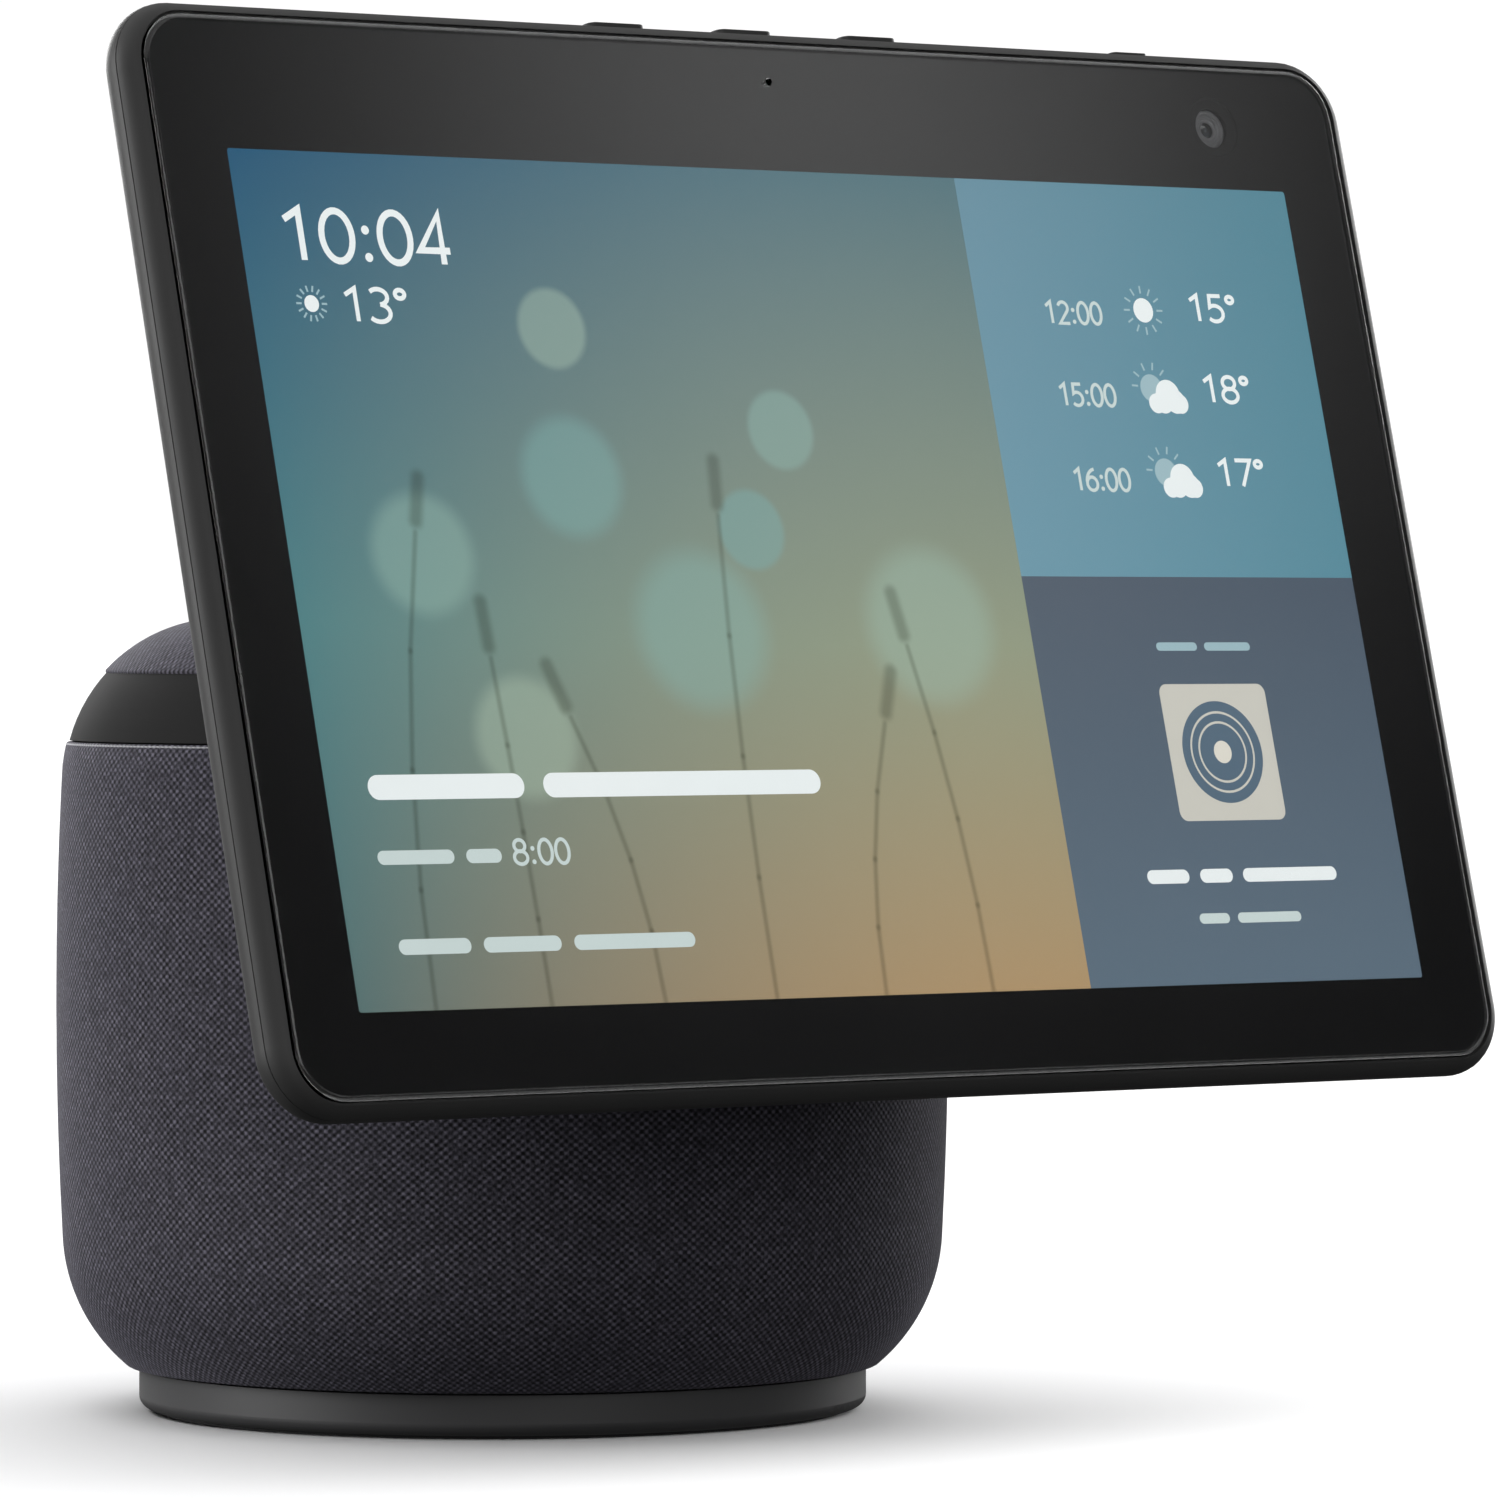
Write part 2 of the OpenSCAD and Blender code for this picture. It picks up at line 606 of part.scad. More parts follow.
module display_arm() color([0.22, 0.22, 0.23]) difference() {
    union() {
        translate(pin_at) rotate([0, 90, 0]) cylinder(r = knuckle_r, h = arm_w, center = true);
        translate([-arm_w / 2, -hinge_y, hinge_z - 4]) cube([arm_w, 16.5, 8]);
        translate([-arm_w / 2, -66, arm_low_z]) cube([arm_w, 3, hinge_z + 4 - arm_low_z]);
        translate([-arm_w / 2, -66, arm_low_z]) cube([arm_w, 28, 3]);
        translate([-20, -57, arm_low_z]) cube([40, 19, 3]);
        for (x = [-arm_w / 2, arm_w / 2 - 3]) translate([x, -64, arm_low_z]) cube([3, 22, 7]);
    }
    translate(pin_at) rotate([0, 90, 0]) cylinder(r = pin_r + 0.05, h = big, center = true);
    at_arm_screws() cylinder(r = 1.7, h = big);
}

module arm_screws() color([0.7, 0.7, 0.72]) at_arm_screws()
    translate([0, 0, deck_z + deck_t + 3.1 + 1.6]) screw(2.8, 1.6, 1.45, 7.1);

// ---------------------------------------------------------------- hinge, on the display's side

module hinge_bracket() color([0.6, 0.61, 0.63]) in_screen() difference() {
    union() {
        translate([0, pin_up, 0]) plate(58, 26, 2, plate_z - 1.55, plate_z - 0.05);
        for (x = [ear_x, -ear_x - ear_t]) {
            on_pin(x, ear_t) circle(knuckle_r);
            translate([x, pin_up - knuckle_r, -pin_deep])
                cube([ear_t, 2 * knuckle_r, pin_deep + plate_z - 0.5]);
        }
    }
    on_pin(-60, 120) circle(pin_r);
    for (x = [-24, 24], y = [-9, 9]) translate([x, pin_up + y, plate_z - 4])
        cylinder(r = 1.2, h = 5, $fn = 32);
}

module hinge_pin() color([0.75, 0.76, 0.78]) in_screen() {
    on_pin(-ear_x - ear_t - 0.5, 2 * (ear_x + ear_t) + 6) circle(pin_r);
    on_pin(-ear_x - ear_t - 2.5, 2) circle(pin_r + 1.6);
}

module spring_washers() color([0.65, 0.6, 0.5]) in_screen() for (i = [0 : 2])
    on_pin(ear_x + ear_t + 0.05 + i * 0.8, 0.7) difference() {
        circle(knuckle_r - 0.2);
        circle(pin_r + 0.02);
    }

module hinge_nut() color([0.75, 0.76, 0.78]) in_screen() on_pin(ear_x + ear_t + 2.6, 2.4) difference() {
    circle(4.4, $fn = 6);
    circle(pin_r);
}

// Plastic caps that close round the hinge's outer ends
module hinge_covers() color([0.2, 0.2, 0.2]) in_screen() intersection() {
    for (side = [0, 1]) mirror([side, 0, 0]) difference() {
        union() {
            on_pin(ear_x, 11) circle(knuckle_r + 1.5);
            translate([ear_x, pin_up - knuckle_r - 1.5, -pin_deep]) cube([11, 2 * knuckle_r + 3, pin_deep]);
        }
        on_pin(ear_x - cut, 10.5) circle(knuckle_r + 0.2);
        translate([ear_x - cut, pin_up - knuckle_r - 0.2, -pin_deep])
            cube([10.5, 2 * knuckle_r + 0.4, pin_deep]);
    }
    slab(-big, -case_t - 0.05);
}

// ---------------------------------------------------------------- display

// Gently domed back: a stack of thin corner discs whose depth follows a falling curve. The same
// stack, drawn in and brought forward by drop, is the hollow inside it.
module back_dome(drop) hull() for (i = [0 : dome_layers], x = [-1, 1], y = [-1, 1]) {
    inset = edge_r * 0.45 + dome_reach * i / dome_layers;
    deep = dome_start + (case_t - dome_start) * (1 - pow(1 - i / dome_layers, 2));
    r = case_corner - inset * 0.12;
    pull = inset + r + drop;
    translate([x * (case_w / 2 - pull), border_up + y * (case_h / 2 - pull), drop - deep])
        cylinder(r = r, h = 0.02, $fn = 28);
}

module case_outline() union() {
    translate([0, border_up, -edge_r]) bullnose(case_w, case_h, case_corner, edge_r);
    back_dome(0);
}

module glass_pocket() translate([0, border_up, 0])
    plate(glass_w + 0.8, glass_h + 0.8, glass_corner + 0.4, -glass_t - 0.25, cut);

module case_hollow(low) translate([0, border_up, 0])
    plate(case_w - 2 * wall_t - 2, case_h - 2 * wall_t - 2, case_corner - wall_t - 1, low, cut);

// Openings in the case's top edge: one for each button and a longer one for the shutter's knob
module edge_openings(grow) translate([0, case_top - 8, 0]) rotate([-90, 0, 0]) {
    for (x = button_x) translate([x, -button_z, 0]) linear_extrude(20)
        rounded(button_w + grow, button_h + grow, (button_h + grow) / 2 - 0.01);
    translate([knob_x + shutter_travel / 2, -button_z, 0]) linear_extrude(20)
        rounded(knob_w + shutter_travel + grow, knob_h + grow, (knob_h + grow) / 2 - 0.01);
}

module rear_cover() color([0.22, 0.22, 0.22]) in_screen() difference() {
    union() {
        difference() {
            intersection() {
                case_outline();
                slab(-big, seam_z - 0.15);
            }
            case_hollow(-7.6);
            intersection() {
                back_dome(1.6);
                case_hollow(-case_t);
            }
        }
        for (x = screw_x, y = screw_y) translate([x, y, -8.6]) cylinder(r = 2.6, h = 8.6 + plate_z - 0.35);
    }
    edge_openings(0.4);
    for (x = [ear_x - 0.4, -ear_x - ear_t - 0.4])
        translate([x, pin_up - knuckle_r - 0.6, -big]) cube([ear_t + 0.8, 2 * knuckle_r + 1.2, big]);
    for (x = screw_x, y = screw_y) translate([x, y, -8]) cylinder(r = 0.9, h = 8, $fn = 32);
}

module front_frame() color([0.2, 0.2, 0.2]) in_screen() difference() {
    intersection() {
        translate([0, border_up, -edge_r]) bullnose(case_w, case_h, case_corner, edge_r);
        slab(seam_z, cut);
    }
    glass_pocket();
    translate([0, border_up, 0]) plate(238, 164, 6, seam_z - cut, cut);
}

module cover_glass() color([0.3, 0.32, 0.34, 0.5]) in_screen() difference() {
    intersection() {
        translate([0, border_up, -1]) bullnose(glass_w, glass_h, glass_corner, 1);
        slab(-glass_t, cut);
    }
    translate([0, mic_y, -3]) cylinder(r = 0.65, h = 6, $fn = 32);
}

module black_border() color([0.05, 0.05, 0.05]) in_screen() difference() {
    translate([0, border_up, 0])
        plate(glass_w - 2.4, glass_h - 2.4, glass_corner - 1.2, -glass_t - 0.2, -glass_t - 0.02);
    plate(lit_w, lit_h, 0.5, -3, 0);
    translate([0, mic_y, -3]) cylinder(r = 0.8, h = 6, $fn = 32);
    translate([camera_at[0], camera_at[1], -3]) cylinder(r = 3.4, h = 6);
}

module screen_panel() color([0.35, 0.5, 0.52]) in_screen()
    plate(lit_w + 4, lit_h + 4, 1, -glass_t - 1.5, -glass_t - 0.25);

module backlight() color([0.9, 0.9, 0.88]) in_screen()
    plate(lit_w + 5, lit_h + 5, 1.5, -glass_t - 4.1, -glass_t - 1.55);

module mid_plate() color([0.65, 0.66, 0.68]) in_screen() difference() {
    translate([0, border_up, 0]) plate(234, 159, 5, plate_z, plate_z + 0.7);
    for (x = screw_x, y = screw_y) translate([x, y, -10]) cylinder(r = 1.2, h = 10, $fn = 32);
    translate([camera_at[0] - 5.6, camera_at[1] - 5.6, -10]) cube([11.2, 11.2, 20]);
    translate([-44, case_top - 14, -10]) cube([88, 20, 20]);
}

module main_board() color([0.1, 0.35, 0.2]) in_screen()
    translate([0, 28, 0]) plate(110, 56, 2, plate_z - 1.7, plate_z - 0.5);

module main_board_parts() in_screen() {
    color([0.08, 0.08, 0.08]) for (p = [[-12, 30, 16], [10, 34, 12], [32, 22, 10]])
        translate([p[0], p[1], plate_z - 2.8]) cube([p[2], p[2], 1.05]);
    color([0.72, 0.73, 0.75]) translate([-48, 12, plate_z - 2.9]) cube([28, 30, 1.15]);
    color([0.9, 0.9, 0.85]) for (x = [-6, 12, 30]) translate([x, 4, plate_z - 2.8]) cube([12, 4, 1.05]);
}

module heat_spreader() color([0.68, 0.69, 0.7]) in_screen()
    translate([0, 28, 0]) plate(104, 50, 3, plate_z - 3.5, plate_z - 3);

module camera_module() in_screen() translate([camera_at[0], camera_at[1], 0]) {
    color([0.1, 0.1, 0.11]) difference() {
        translate([-5, -5, -7.4]) cube([10, 10, 4.4]);
        translate([0, 0, -4.5]) cylinder(r = 3.1, h = 5);
    }
    color([0.05, 0.06, 0.1]) intersection() {
        translate([0, 0, -4.48]) cylinder(r = 3, h = 4);
        translate([0, 0, -7.4]) sphere(r = 4.2);
    }
}

module button_board() color([0.1, 0.35, 0.2]) in_screen()
    translate([-36, case_top - 8.4, button_z - 1.6]) cube([72, 1, 3.2]);

module microphone_board() in_screen() {
    color([0.1, 0.35, 0.2]) translate([-6, mic_y - 3, -3.2]) cube([12, 5, 0.8]);
    color([0.8, 0.8, 0.8]) difference() {
        translate([-1.8, mic_y - 1.5, -2.35]) cube([3.6, 3, 0.85]);
        translate([0, mic_y, -3]) cylinder(r = 0.4, h = 3, $fn = 24);
    }
}

module case_screws() color([0.7, 0.7, 0.72]) in_screen() for (x = screw_x, y = screw_y)
    translate([x, y, plate_z + 1.6]) screw(1.9, 0.85, 0.85, 3.2);

// Push button: a rounded cap on a wider foot that keeps it in the case
module edge_button(x) in_screen() translate([x, 0, button_z]) {
    translate([0, case_top + button_out, 0]) rotate([90, 0, 0]) linear_extrude(5.1)
        rounded(button_w, button_h, button_h / 2 - 0.01);
    translate([-button_w / 2 - 1, case_top + button_out - 6.2, -button_h / 2])
        cube([button_w + 2, 1.2, button_h]);
}

module volume_up_button() color([0.2, 0.2, 0.2]) edge_button(button_x[2]);
module volume_down_button() color([0.2, 0.2, 0.2]) edge_button(button_x[1]);
module mute_button() color([0.2, 0.2, 0.2]) edge_button(button_x[0]);

// Sliding cover for the camera: a knob in the case's edge, a web behind it and a thin blade that
// runs between the black border and the lens
module camera_shutter() color([0.2, 0.2, 0.2]) in_screen() {
    web_y = 83.6;
    translate([knob_x, case_top + 0.6, button_z]) rotate([90, 0, 0]) linear_extrude(5)
        rounded(knob_w, knob_h, knob_h / 2 - 0.01);
    translate([knob_x - 3, web_y, button_z - 0.5]) cube([6, case_top - 4.1 - web_y, 1]);
    translate([knob_x - 3, web_y, button_z - 0.5]) cube([6, 1.4, -button_z - 1.4]);
    translate([knob_x - 3, camera_at[1] - 4, -2.4]) cube([11, web_y + 1.4 - camera_at[1] + 4, 0.5]);
}

foot_pad();
foot_shell();
base_plate();
foot_screws();
stop_pin();
ring_gear();
lower_race();
power_jack();
cable_cassette();
coiled_cable();
ball_cage();
bearing_balls();
drive_pinion();
lower_chassis();
upper_race();
drive_motor();
grille_cage();
fabric_sleeve();
speaker_box();
box_screws();
woofer_basket();
woofer_magnet();
voice_coil();
woofer_cone();
woofer_surround();
left_tweeter();
right_tweeter();
power_board();
board_parts();
heat_sink();
board_screws();
top_frame();
collar_band();
top_cap();
top_fabric();
display_arm();
arm_screws();
hinge_bracket();
hinge_pin();
spring_washers();
hinge_nut();
hinge_covers();
rear_cover();
front_frame();
cover_glass();
black_border();
screen_panel();
backlight();
mid_plate();
main_board();
main_board_parts();
heat_spreader();
camera_module();
button_board();
microphone_board();
case_screws();
volume_up_button();
volume_down_button();
mute_button();
camera_shutter();
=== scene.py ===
"""Looks for the smart display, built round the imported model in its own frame.

Lengths are in metres, and a number of millimetres is turned into metres where it is used, by MM
or by on_screen(). The body turns on the foot, the display tilts on the body, and every piece rides
on the body that it belongs to.
"""
import json
import math

import bmesh
import bpy
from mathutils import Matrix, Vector


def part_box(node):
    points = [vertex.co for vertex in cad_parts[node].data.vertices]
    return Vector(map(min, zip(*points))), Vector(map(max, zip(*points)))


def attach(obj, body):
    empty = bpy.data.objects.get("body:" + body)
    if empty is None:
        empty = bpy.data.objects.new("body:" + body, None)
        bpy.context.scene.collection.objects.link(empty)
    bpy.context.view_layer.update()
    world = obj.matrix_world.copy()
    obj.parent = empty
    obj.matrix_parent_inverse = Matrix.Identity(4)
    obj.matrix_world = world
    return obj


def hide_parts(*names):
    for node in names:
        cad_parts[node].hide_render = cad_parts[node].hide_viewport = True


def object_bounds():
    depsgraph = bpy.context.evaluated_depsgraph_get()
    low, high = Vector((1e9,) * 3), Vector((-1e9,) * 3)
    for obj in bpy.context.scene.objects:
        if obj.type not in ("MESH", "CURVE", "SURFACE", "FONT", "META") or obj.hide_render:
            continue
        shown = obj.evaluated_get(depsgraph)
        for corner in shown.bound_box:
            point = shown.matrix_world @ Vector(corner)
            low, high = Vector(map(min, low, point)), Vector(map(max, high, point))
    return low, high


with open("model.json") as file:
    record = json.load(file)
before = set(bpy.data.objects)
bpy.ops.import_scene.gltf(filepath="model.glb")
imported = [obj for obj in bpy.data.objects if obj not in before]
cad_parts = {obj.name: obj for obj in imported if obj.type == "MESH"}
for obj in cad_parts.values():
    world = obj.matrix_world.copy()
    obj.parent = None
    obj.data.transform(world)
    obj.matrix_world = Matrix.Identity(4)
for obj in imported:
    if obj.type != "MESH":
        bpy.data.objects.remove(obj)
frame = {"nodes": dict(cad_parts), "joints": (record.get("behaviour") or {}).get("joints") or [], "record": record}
cad_box = [list(corner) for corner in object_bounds()]
nodes = frame["nodes"]
joints = {joint["name"]: joint for joint in frame["joints"]}
MM = 0.001

# ------------------------------------------------------------------ places that the frame gives

# The screen's own directions: across it, up the glass and out of it
ACROSS = Vector(joints["slide_shutter"]["axis"]).normalized()
UP = -Vector(joints["press_mute"]["axis"]).normalized()
OUT = ACROSS.cross(UP)


def span(node, direction):
    """How far a CAD node reaches along a direction: its lowest and highest, in metres."""
    reach = [v.co.dot(direction) for v in nodes[node].data.vertices]
    return min(reach), max(reach)


def middle(node, direction):
    return sum(span(node, direction)) / 2


# The middle of the lit area, at the height of the glass's front face
CENTRE = (
    ACROSS * middle("screen_panel", ACROSS)
    + UP * middle("screen_panel", UP)
    + OUT * span("cover_glass", OUT)[1]
)


def on_screen(x, y, z=0.0):
    """The point that lies x across, y up and z out from the middle of the lit area, in mm."""
    return CENTRE + (ACROSS * x + UP * y + OUT * z) * MM


def screen_size(node, direction):
    low, high = span(node, direction)
    return (high - low) / MM


LIT_W, LIT_H = 217, 135.6
BORDER_UP = (middle("cover_glass", UP) - CENTRE.dot(UP)) / MM
CASE_W = screen_size("rear_cover", ACROSS)
CASE_H = screen_size("front_frame", UP) + 0.3      # the rear cover stands just proud of the frame
CAMERA_AT = tuple((middle("camera_module", way) - CENTRE.dot(way)) / MM for way in (ACROSS, UP))
MICROPHONE_AT = (0, 82.5)

# The compass heading of the reference view, and its level directions ahead and to the right
HEADING = math.radians(-38.476)
VIEW_AHEAD = Vector((-math.sin(HEADING), math.cos(HEADING), 0))
VIEW_RIGHT = Vector((math.cos(HEADING), math.sin(HEADING), 0))


def make_camera():
    """The reference view: low, from the left of the screen, through a long lens."""
    data = bpy.data.cameras.new("camera")
    data.sensor_width = 36
    data.lens = 210.77
    camera = bpy.data.objects.new("camera", data)
    camera.location = (-0.8818, -1.1760, 0.1302)
    camera.rotation_euler = (math.pi / 2 + math.radians(-0.782), 0, HEADING)
    bpy.context.scene.collection.objects.link(camera)
    bpy.context.scene.camera = camera


# ------------------------------------------------------------------ materials


def srgb(red, green, blue):
    """A colour given as 0 to 255 on a screen, as the linear colour that shaders take."""
    def linear(value):
        share = value / 255
        return share / 12.92 if share <= 0.04045 else ((share + 0.055) / 1.055) ** 2.4

    return linear(red), linear(green), linear(blue), 1.0


class Nodes:
    """Adds nodes to a tree and links them. A value may be a socket or a constant."""

    def __init__(self, tree):
        self.tree = tree

    def node(self, kind, *values, **settings):
        made = self.tree.nodes.new(kind)
        for name, value in settings.items():
            setattr(made, name, value)
        for socket, value in zip(made.inputs, values):
            self.feed(socket, value)
        return made

    def feed(self, socket, value):
        if isinstance(value, bpy.types.NodeSocket):
            self.tree.links.new(value, socket)
        elif value is not None:
            socket.default_value = value

    def math(self, operation, *values):
        return self.node("ShaderNodeMath", *values, operation=operation).outputs[0]

    def vector(self, operation, *values, out=0):
        return self.node("ShaderNodeVectorMath", *values, operation=operation).outputs[out]

    def fit(self, value, low, high, to_low, to_high, smooth=False):
        """value from low..high to to_low..to_high, held at the ends."""
        kind = "SMOOTHSTEP" if smooth else "LINEAR"
        made = self.node("ShaderNodeMapRange", value, low, high, to_low, to_high,
                         interpolation_type=kind)
        return made.outputs[0]

    def mix(self, share, first, second, blend="MIX"):
        made = self.node("ShaderNodeMix", data_type="RGBA", blend_type=blend)
        self.feed(made.inputs[0], share)
        self.feed(made.inputs[6], first)
        self.feed(made.inputs[7], second)
        return made.outputs[2]

    def ramp(self, value, stops):
        """A colour ramp through (position, colour) stops."""
        made = self.node("ShaderNodeValToRGB", value)
        elements = made.color_ramp.elements
        for index, (position, colour) in enumerate(stops):
            if index < 2:
                element = elements[index]
                element.position = position
            else:
                element = elements.new(position)
            element.color = colour
        return made.outputs[0]


class Paint(Nodes):
    """One material, built node by node round a Principled shader."""

    def __init__(self, name, **constants):
        self.material = bpy.data.materials.new(name)
        self.material.use_nodes = True
        super().__init__(self.material.node_tree)
        self.shader = self.tree.nodes["Principled BSDF"]
        for socket, value in constants.items():
            self.shader.inputs[socket.replace("_", " ")].default_value = value
        self.place = self.node("ShaderNodeTexCoord").outputs["Object"]

    def set(self, name, value):
        self.feed(self.shader.inputs[name], value)

    def noise(self, size, detail=2.0, place=None):
        """Cloudy noise from 0 to 1 whose patches are about size metres across."""
        made = self.node("ShaderNodeTexNoise")
        self.feed(made.inputs["Vector"], place or self.place)
        made.inputs["Scale"].default_value = 1 / size
        made.inputs["Detail"].default_value = detail
        return made.outputs[0]

    def bump(self, height, depth, normal=None):
        """Sets the surface's relief: height from 0 to 1 over a depth in metres."""
        made = self.node("ShaderNodeBump")
        made.inputs["Strength"].default_value = 1.0
        made.inputs["Distance"].default_value = depth
        self.feed(made.inputs["Height"], height)
        self.feed(made.inputs["Normal"], normal)
        self.set("Normal", made.outputs[0])

    def soft_edges(self, radius):
        """A normal that rounds sharp edges by a small radius."""
        return self.node("ShaderNodeBevel", radius, samples=4).outputs[0]


def shades(colour, spread):
    """A darker and a lighter shade of a colour."""
    return [tuple(part * k for part in colour[:3]) + (1.0,) for k in (1 - spread, 1 + spread)]


def plastic(name, colour, roughness=0.5, grain=0.3, depth=0.006, spread=0.08, edge=0.12,
            shine=0.4):
    """Moulded plastic: fine grain of a size and depth in mm, slow patches of shade and of gloss."""
    paint = Paint(name, Specular_IOR_Level=shine)
    dark, light = shades(colour, spread)
    patches = paint.noise(0.03, 3)
    speckle = paint.noise(grain * MM, 1)
    tone = paint.math("ADD", paint.math("MULTIPLY", patches, 0.6), paint.math("MULTIPLY", speckle, 0.4))
    paint.set("Base Color", paint.mix(tone, dark, light))
    paint.set("Roughness", paint.fit(patches, 0.3, 0.7, roughness - 0.04, roughness + 0.04))
    paint.bump(speckle, depth * MM, paint.soft_edges(edge * MM))
    return paint.material


def rubber(name):
    paint = Paint(name, Specular_IOR_Level=0.3)
    dark, light = shades(srgb(34, 34, 35), 0.2)
    dust = paint.noise(0.006, 4)
    paint.set("Base Color", paint.mix(dust, dark, light))
    paint.set("Roughness", paint.fit(dust, 0.2, 0.8, 0.7, 0.9))
    paint.bump(paint.noise(0.4 * MM, 2), 0.02 * MM)
    return paint.material


def metal(name, colour, roughness=0.3, brushed=True, spread=0.08):
    """Metal with fine drawn lines, or with faint clouds when it isn't brushed."""
    paint = Paint(name, Metallic=1.0)
    dark, light = shades(colour, spread)
    if brushed:
        stretched = paint.vector("MULTIPLY", paint.place, (40.0, 1.0, 40.0))
        lines = paint.noise(0.01, 3, stretched)
    else:
        lines = paint.noise(0.002, 3)
    paint.set("Base Color", paint.mix(lines, dark, light))
    paint.set("Roughness", paint.fit(lines, 0.3, 0.7, roughness * 0.8, roughness * 1.25))
    paint.bump(lines, 0.004 * MM, paint.soft_edges(0.1 * MM))
    return paint.material


def circuit_board(name):
    """Green solder mask with darker gaps between the copper areas and gold pads."""
    paint = Paint(name, Specular_IOR_Level=0.5, Roughness=0.35)
    cells = paint.node("ShaderNodeTexVoronoi", distance="CHEBYCHEV", feature="F1")
    paint.feed(cells.inputs["Vector"], paint.place)
    cells.inputs["Scale"].default_value = 1 / 0.0035
    tracks = paint.fit(cells.outputs["Distance"], 0.42, 0.46, 0.0, 1.0)
    mask = paint.mix(tracks, srgb(16, 74, 42), srgb(8, 46, 28))
    pads = paint.fit(cells.outputs["Distance"], 0.09, 0.11, 1.0, 0.0)
    paint.set("Base Color", paint.mix(pads, mask, srgb(196, 160, 84)))
    paint.bump(tracks, -0.03 * MM)
    return paint.material


def paper(name):
    paint = Paint(name, Specular_IOR_Level=0.2)
    fibres = paint.noise(0.7 * MM, 5)
    dark, light = shades(srgb(26, 26, 28), 0.35)
    paint.set("Base Color", paint.mix(fibres, dark, light))
    paint.set("Roughness", paint.fit(fibres, 0.3, 0.7, 0.65, 0.9))
    paint.bump(fibres, 0.05 * MM)
    return paint.material


def clear_glass(name):
    """Cover glass: clear, with the faint unevenness of a smudge-proof coating."""
    paint = Paint(name, Transmission_Weight=1.0, IOR=1.5)
    paint.set("Base Color", paint.mix(paint.noise(0.05), srgb(250, 252, 252), srgb(255, 255, 255)))
    paint.set("Roughness", paint.fit(paint.noise(0.02, 3), 0.3, 0.7, 0.004, 0.012))
    return paint.material


def ink(name):
    """Black print under the glass."""
    paint = Paint(name, Specular_IOR_Level=0.1)
    speckle = paint.noise(0.2 * MM, 1)
    paint.set("Base Color", paint.mix(speckle, srgb(15, 15, 15), srgb(20, 20, 21)))
    paint.set("Roughness", paint.fit(paint.noise(0.03), 0.3, 0.7, 0.45, 0.6))
    return paint.material


def lens(name):
    """Dark coated lens with a violet and green bloom."""
    paint = Paint(name, Specular_IOR_Level=0.9, Coat_Weight=1.0, Coat_Roughness=0.02, Roughness=0.12)
    bloom = paint.noise(2.2 * MM, 1)
    paint.set("Base Color", paint.mix(bloom, srgb(22, 18, 40), srgb(18, 40, 44)))
    return paint.material


def diffuser(name):
    paint = Paint(name, Specular_IOR_Level=0.3, Roughness=0.6)
    paint.set("Base Color", paint.mix(paint.noise(1.5 * MM, 2), srgb(228, 228, 222), srgb(244, 244, 240)))
    return paint.material


def film(name):
    """The flat cable: tinted film with copper strips along it."""
    paint = Paint(name, Specular_IOR_Level=0.5, Roughness=0.3)
    height = paint.node("ShaderNodeSeparateXYZ", paint.place).outputs[2]
    strips = paint.math("SINE", paint.math("MULTIPLY", height, 2 * math.pi / (0.8 * MM)))
    shine = paint.fit(strips, -0.2, 0.2, 0.0, 1.0)
    paint.set("Base Color", paint.mix(shine, srgb(150, 84, 22), srgb(206, 132, 70)))
    paint.bump(shine, 0.02 * MM)
    return paint.material


# The weave: yarns cross on a checkerboard, each cell this wide and this high
CELL_W, CELL_H = 0.77 * MM, 0.65 * MM


def cloth(name, cell_counts):
    """Charcoal woven cloth, with painted shade in the hollows between its yarns. cell_counts(paint) counts the
    crossings of its yarns both ways.
    """
    paint = Paint(name, Specular_IOR_Level=0.2, Roughness=0.85, Sheen_Weight=0.12, Sheen_Roughness=0.4)
    paint.shader.inputs["Sheen Tint"].default_value = (0.86, 0.84, 1.0, 1.0)
    across, up = cell_counts(paint)
    waves = [paint.math("COSINE", paint.math("MULTIPLY", count, math.pi)) for count in (across, up)]
    crossing = paint.math("MULTIPLY", *waves)
    whole = [paint.math("ROUND", count) for count in (across, up)]
    cell = paint.node("ShaderNodeCombineXYZ", *whole, 0.0).outputs[0]
    chance = paint.node("ShaderNodeTexWhiteNoise", noise_dimensions="2D")
    paint.feed(chance.inputs["Vector"], cell)
    fuzz = paint.math("SUBTRACT", paint.noise(0.45 * MM, 3), 0.5)
    slubs = paint.noise(3 * MM, 2)
    weight = paint.fit(slubs, 0.3, 0.7, 0.30, 0.55)
    height = paint.math("ADD", paint.math("MULTIPLY", crossing, weight), 0.5)
    height = paint.math("ADD", height, paint.math("MULTIPLY", fuzz, 0.9))
    # Painted shade: the colour runs from near black in the low parts of the weave to grey on the raised yarns.
    yarn_with_painted_shade = paint.ramp(height, [(0.0, srgb(4, 4, 6)), (1.0, srgb(96, 94, 103)), (0.42, srgb(47, 46, 52))])
    dye = paint.fit(chance.outputs["Value"], 0.0, 1.0, 0.68, 1.32)
    yarn_with_painted_shade = paint.mix(1.0, yarn_with_painted_shade, paint.node("ShaderNodeCombineXYZ", dye, dye, dye).outputs[0], "MULTIPLY")
    tint = paint.mix(paint.noise(0.02, 2), srgb(232, 232, 240), srgb(255, 252, 255))
    paint.set("Base Color", paint.mix(1.0, yarn_with_painted_shade, tint, "MULTIPLY"))
    paint.bump(height, 0.12 * MM)
    return paint.material


def sleeve_cells(paint):
    """Round the body by angle, and along its side by the arc length stored on the mesh."""
    x, y, _ = paint.node("ShaderNodeSeparateXYZ", paint.place).outputs[:3]
    angle = paint.math("ARCTAN2", y, x)
    pairs = round(math.pi * WIDEST / CELL_W)
    along = paint.node("ShaderNodeAttribute", attribute_name="along").outputs["Fac"]
    return paint.math("MULTIPLY", angle, pairs / math.pi), paint.math("DIVIDE", along, CELL_H)


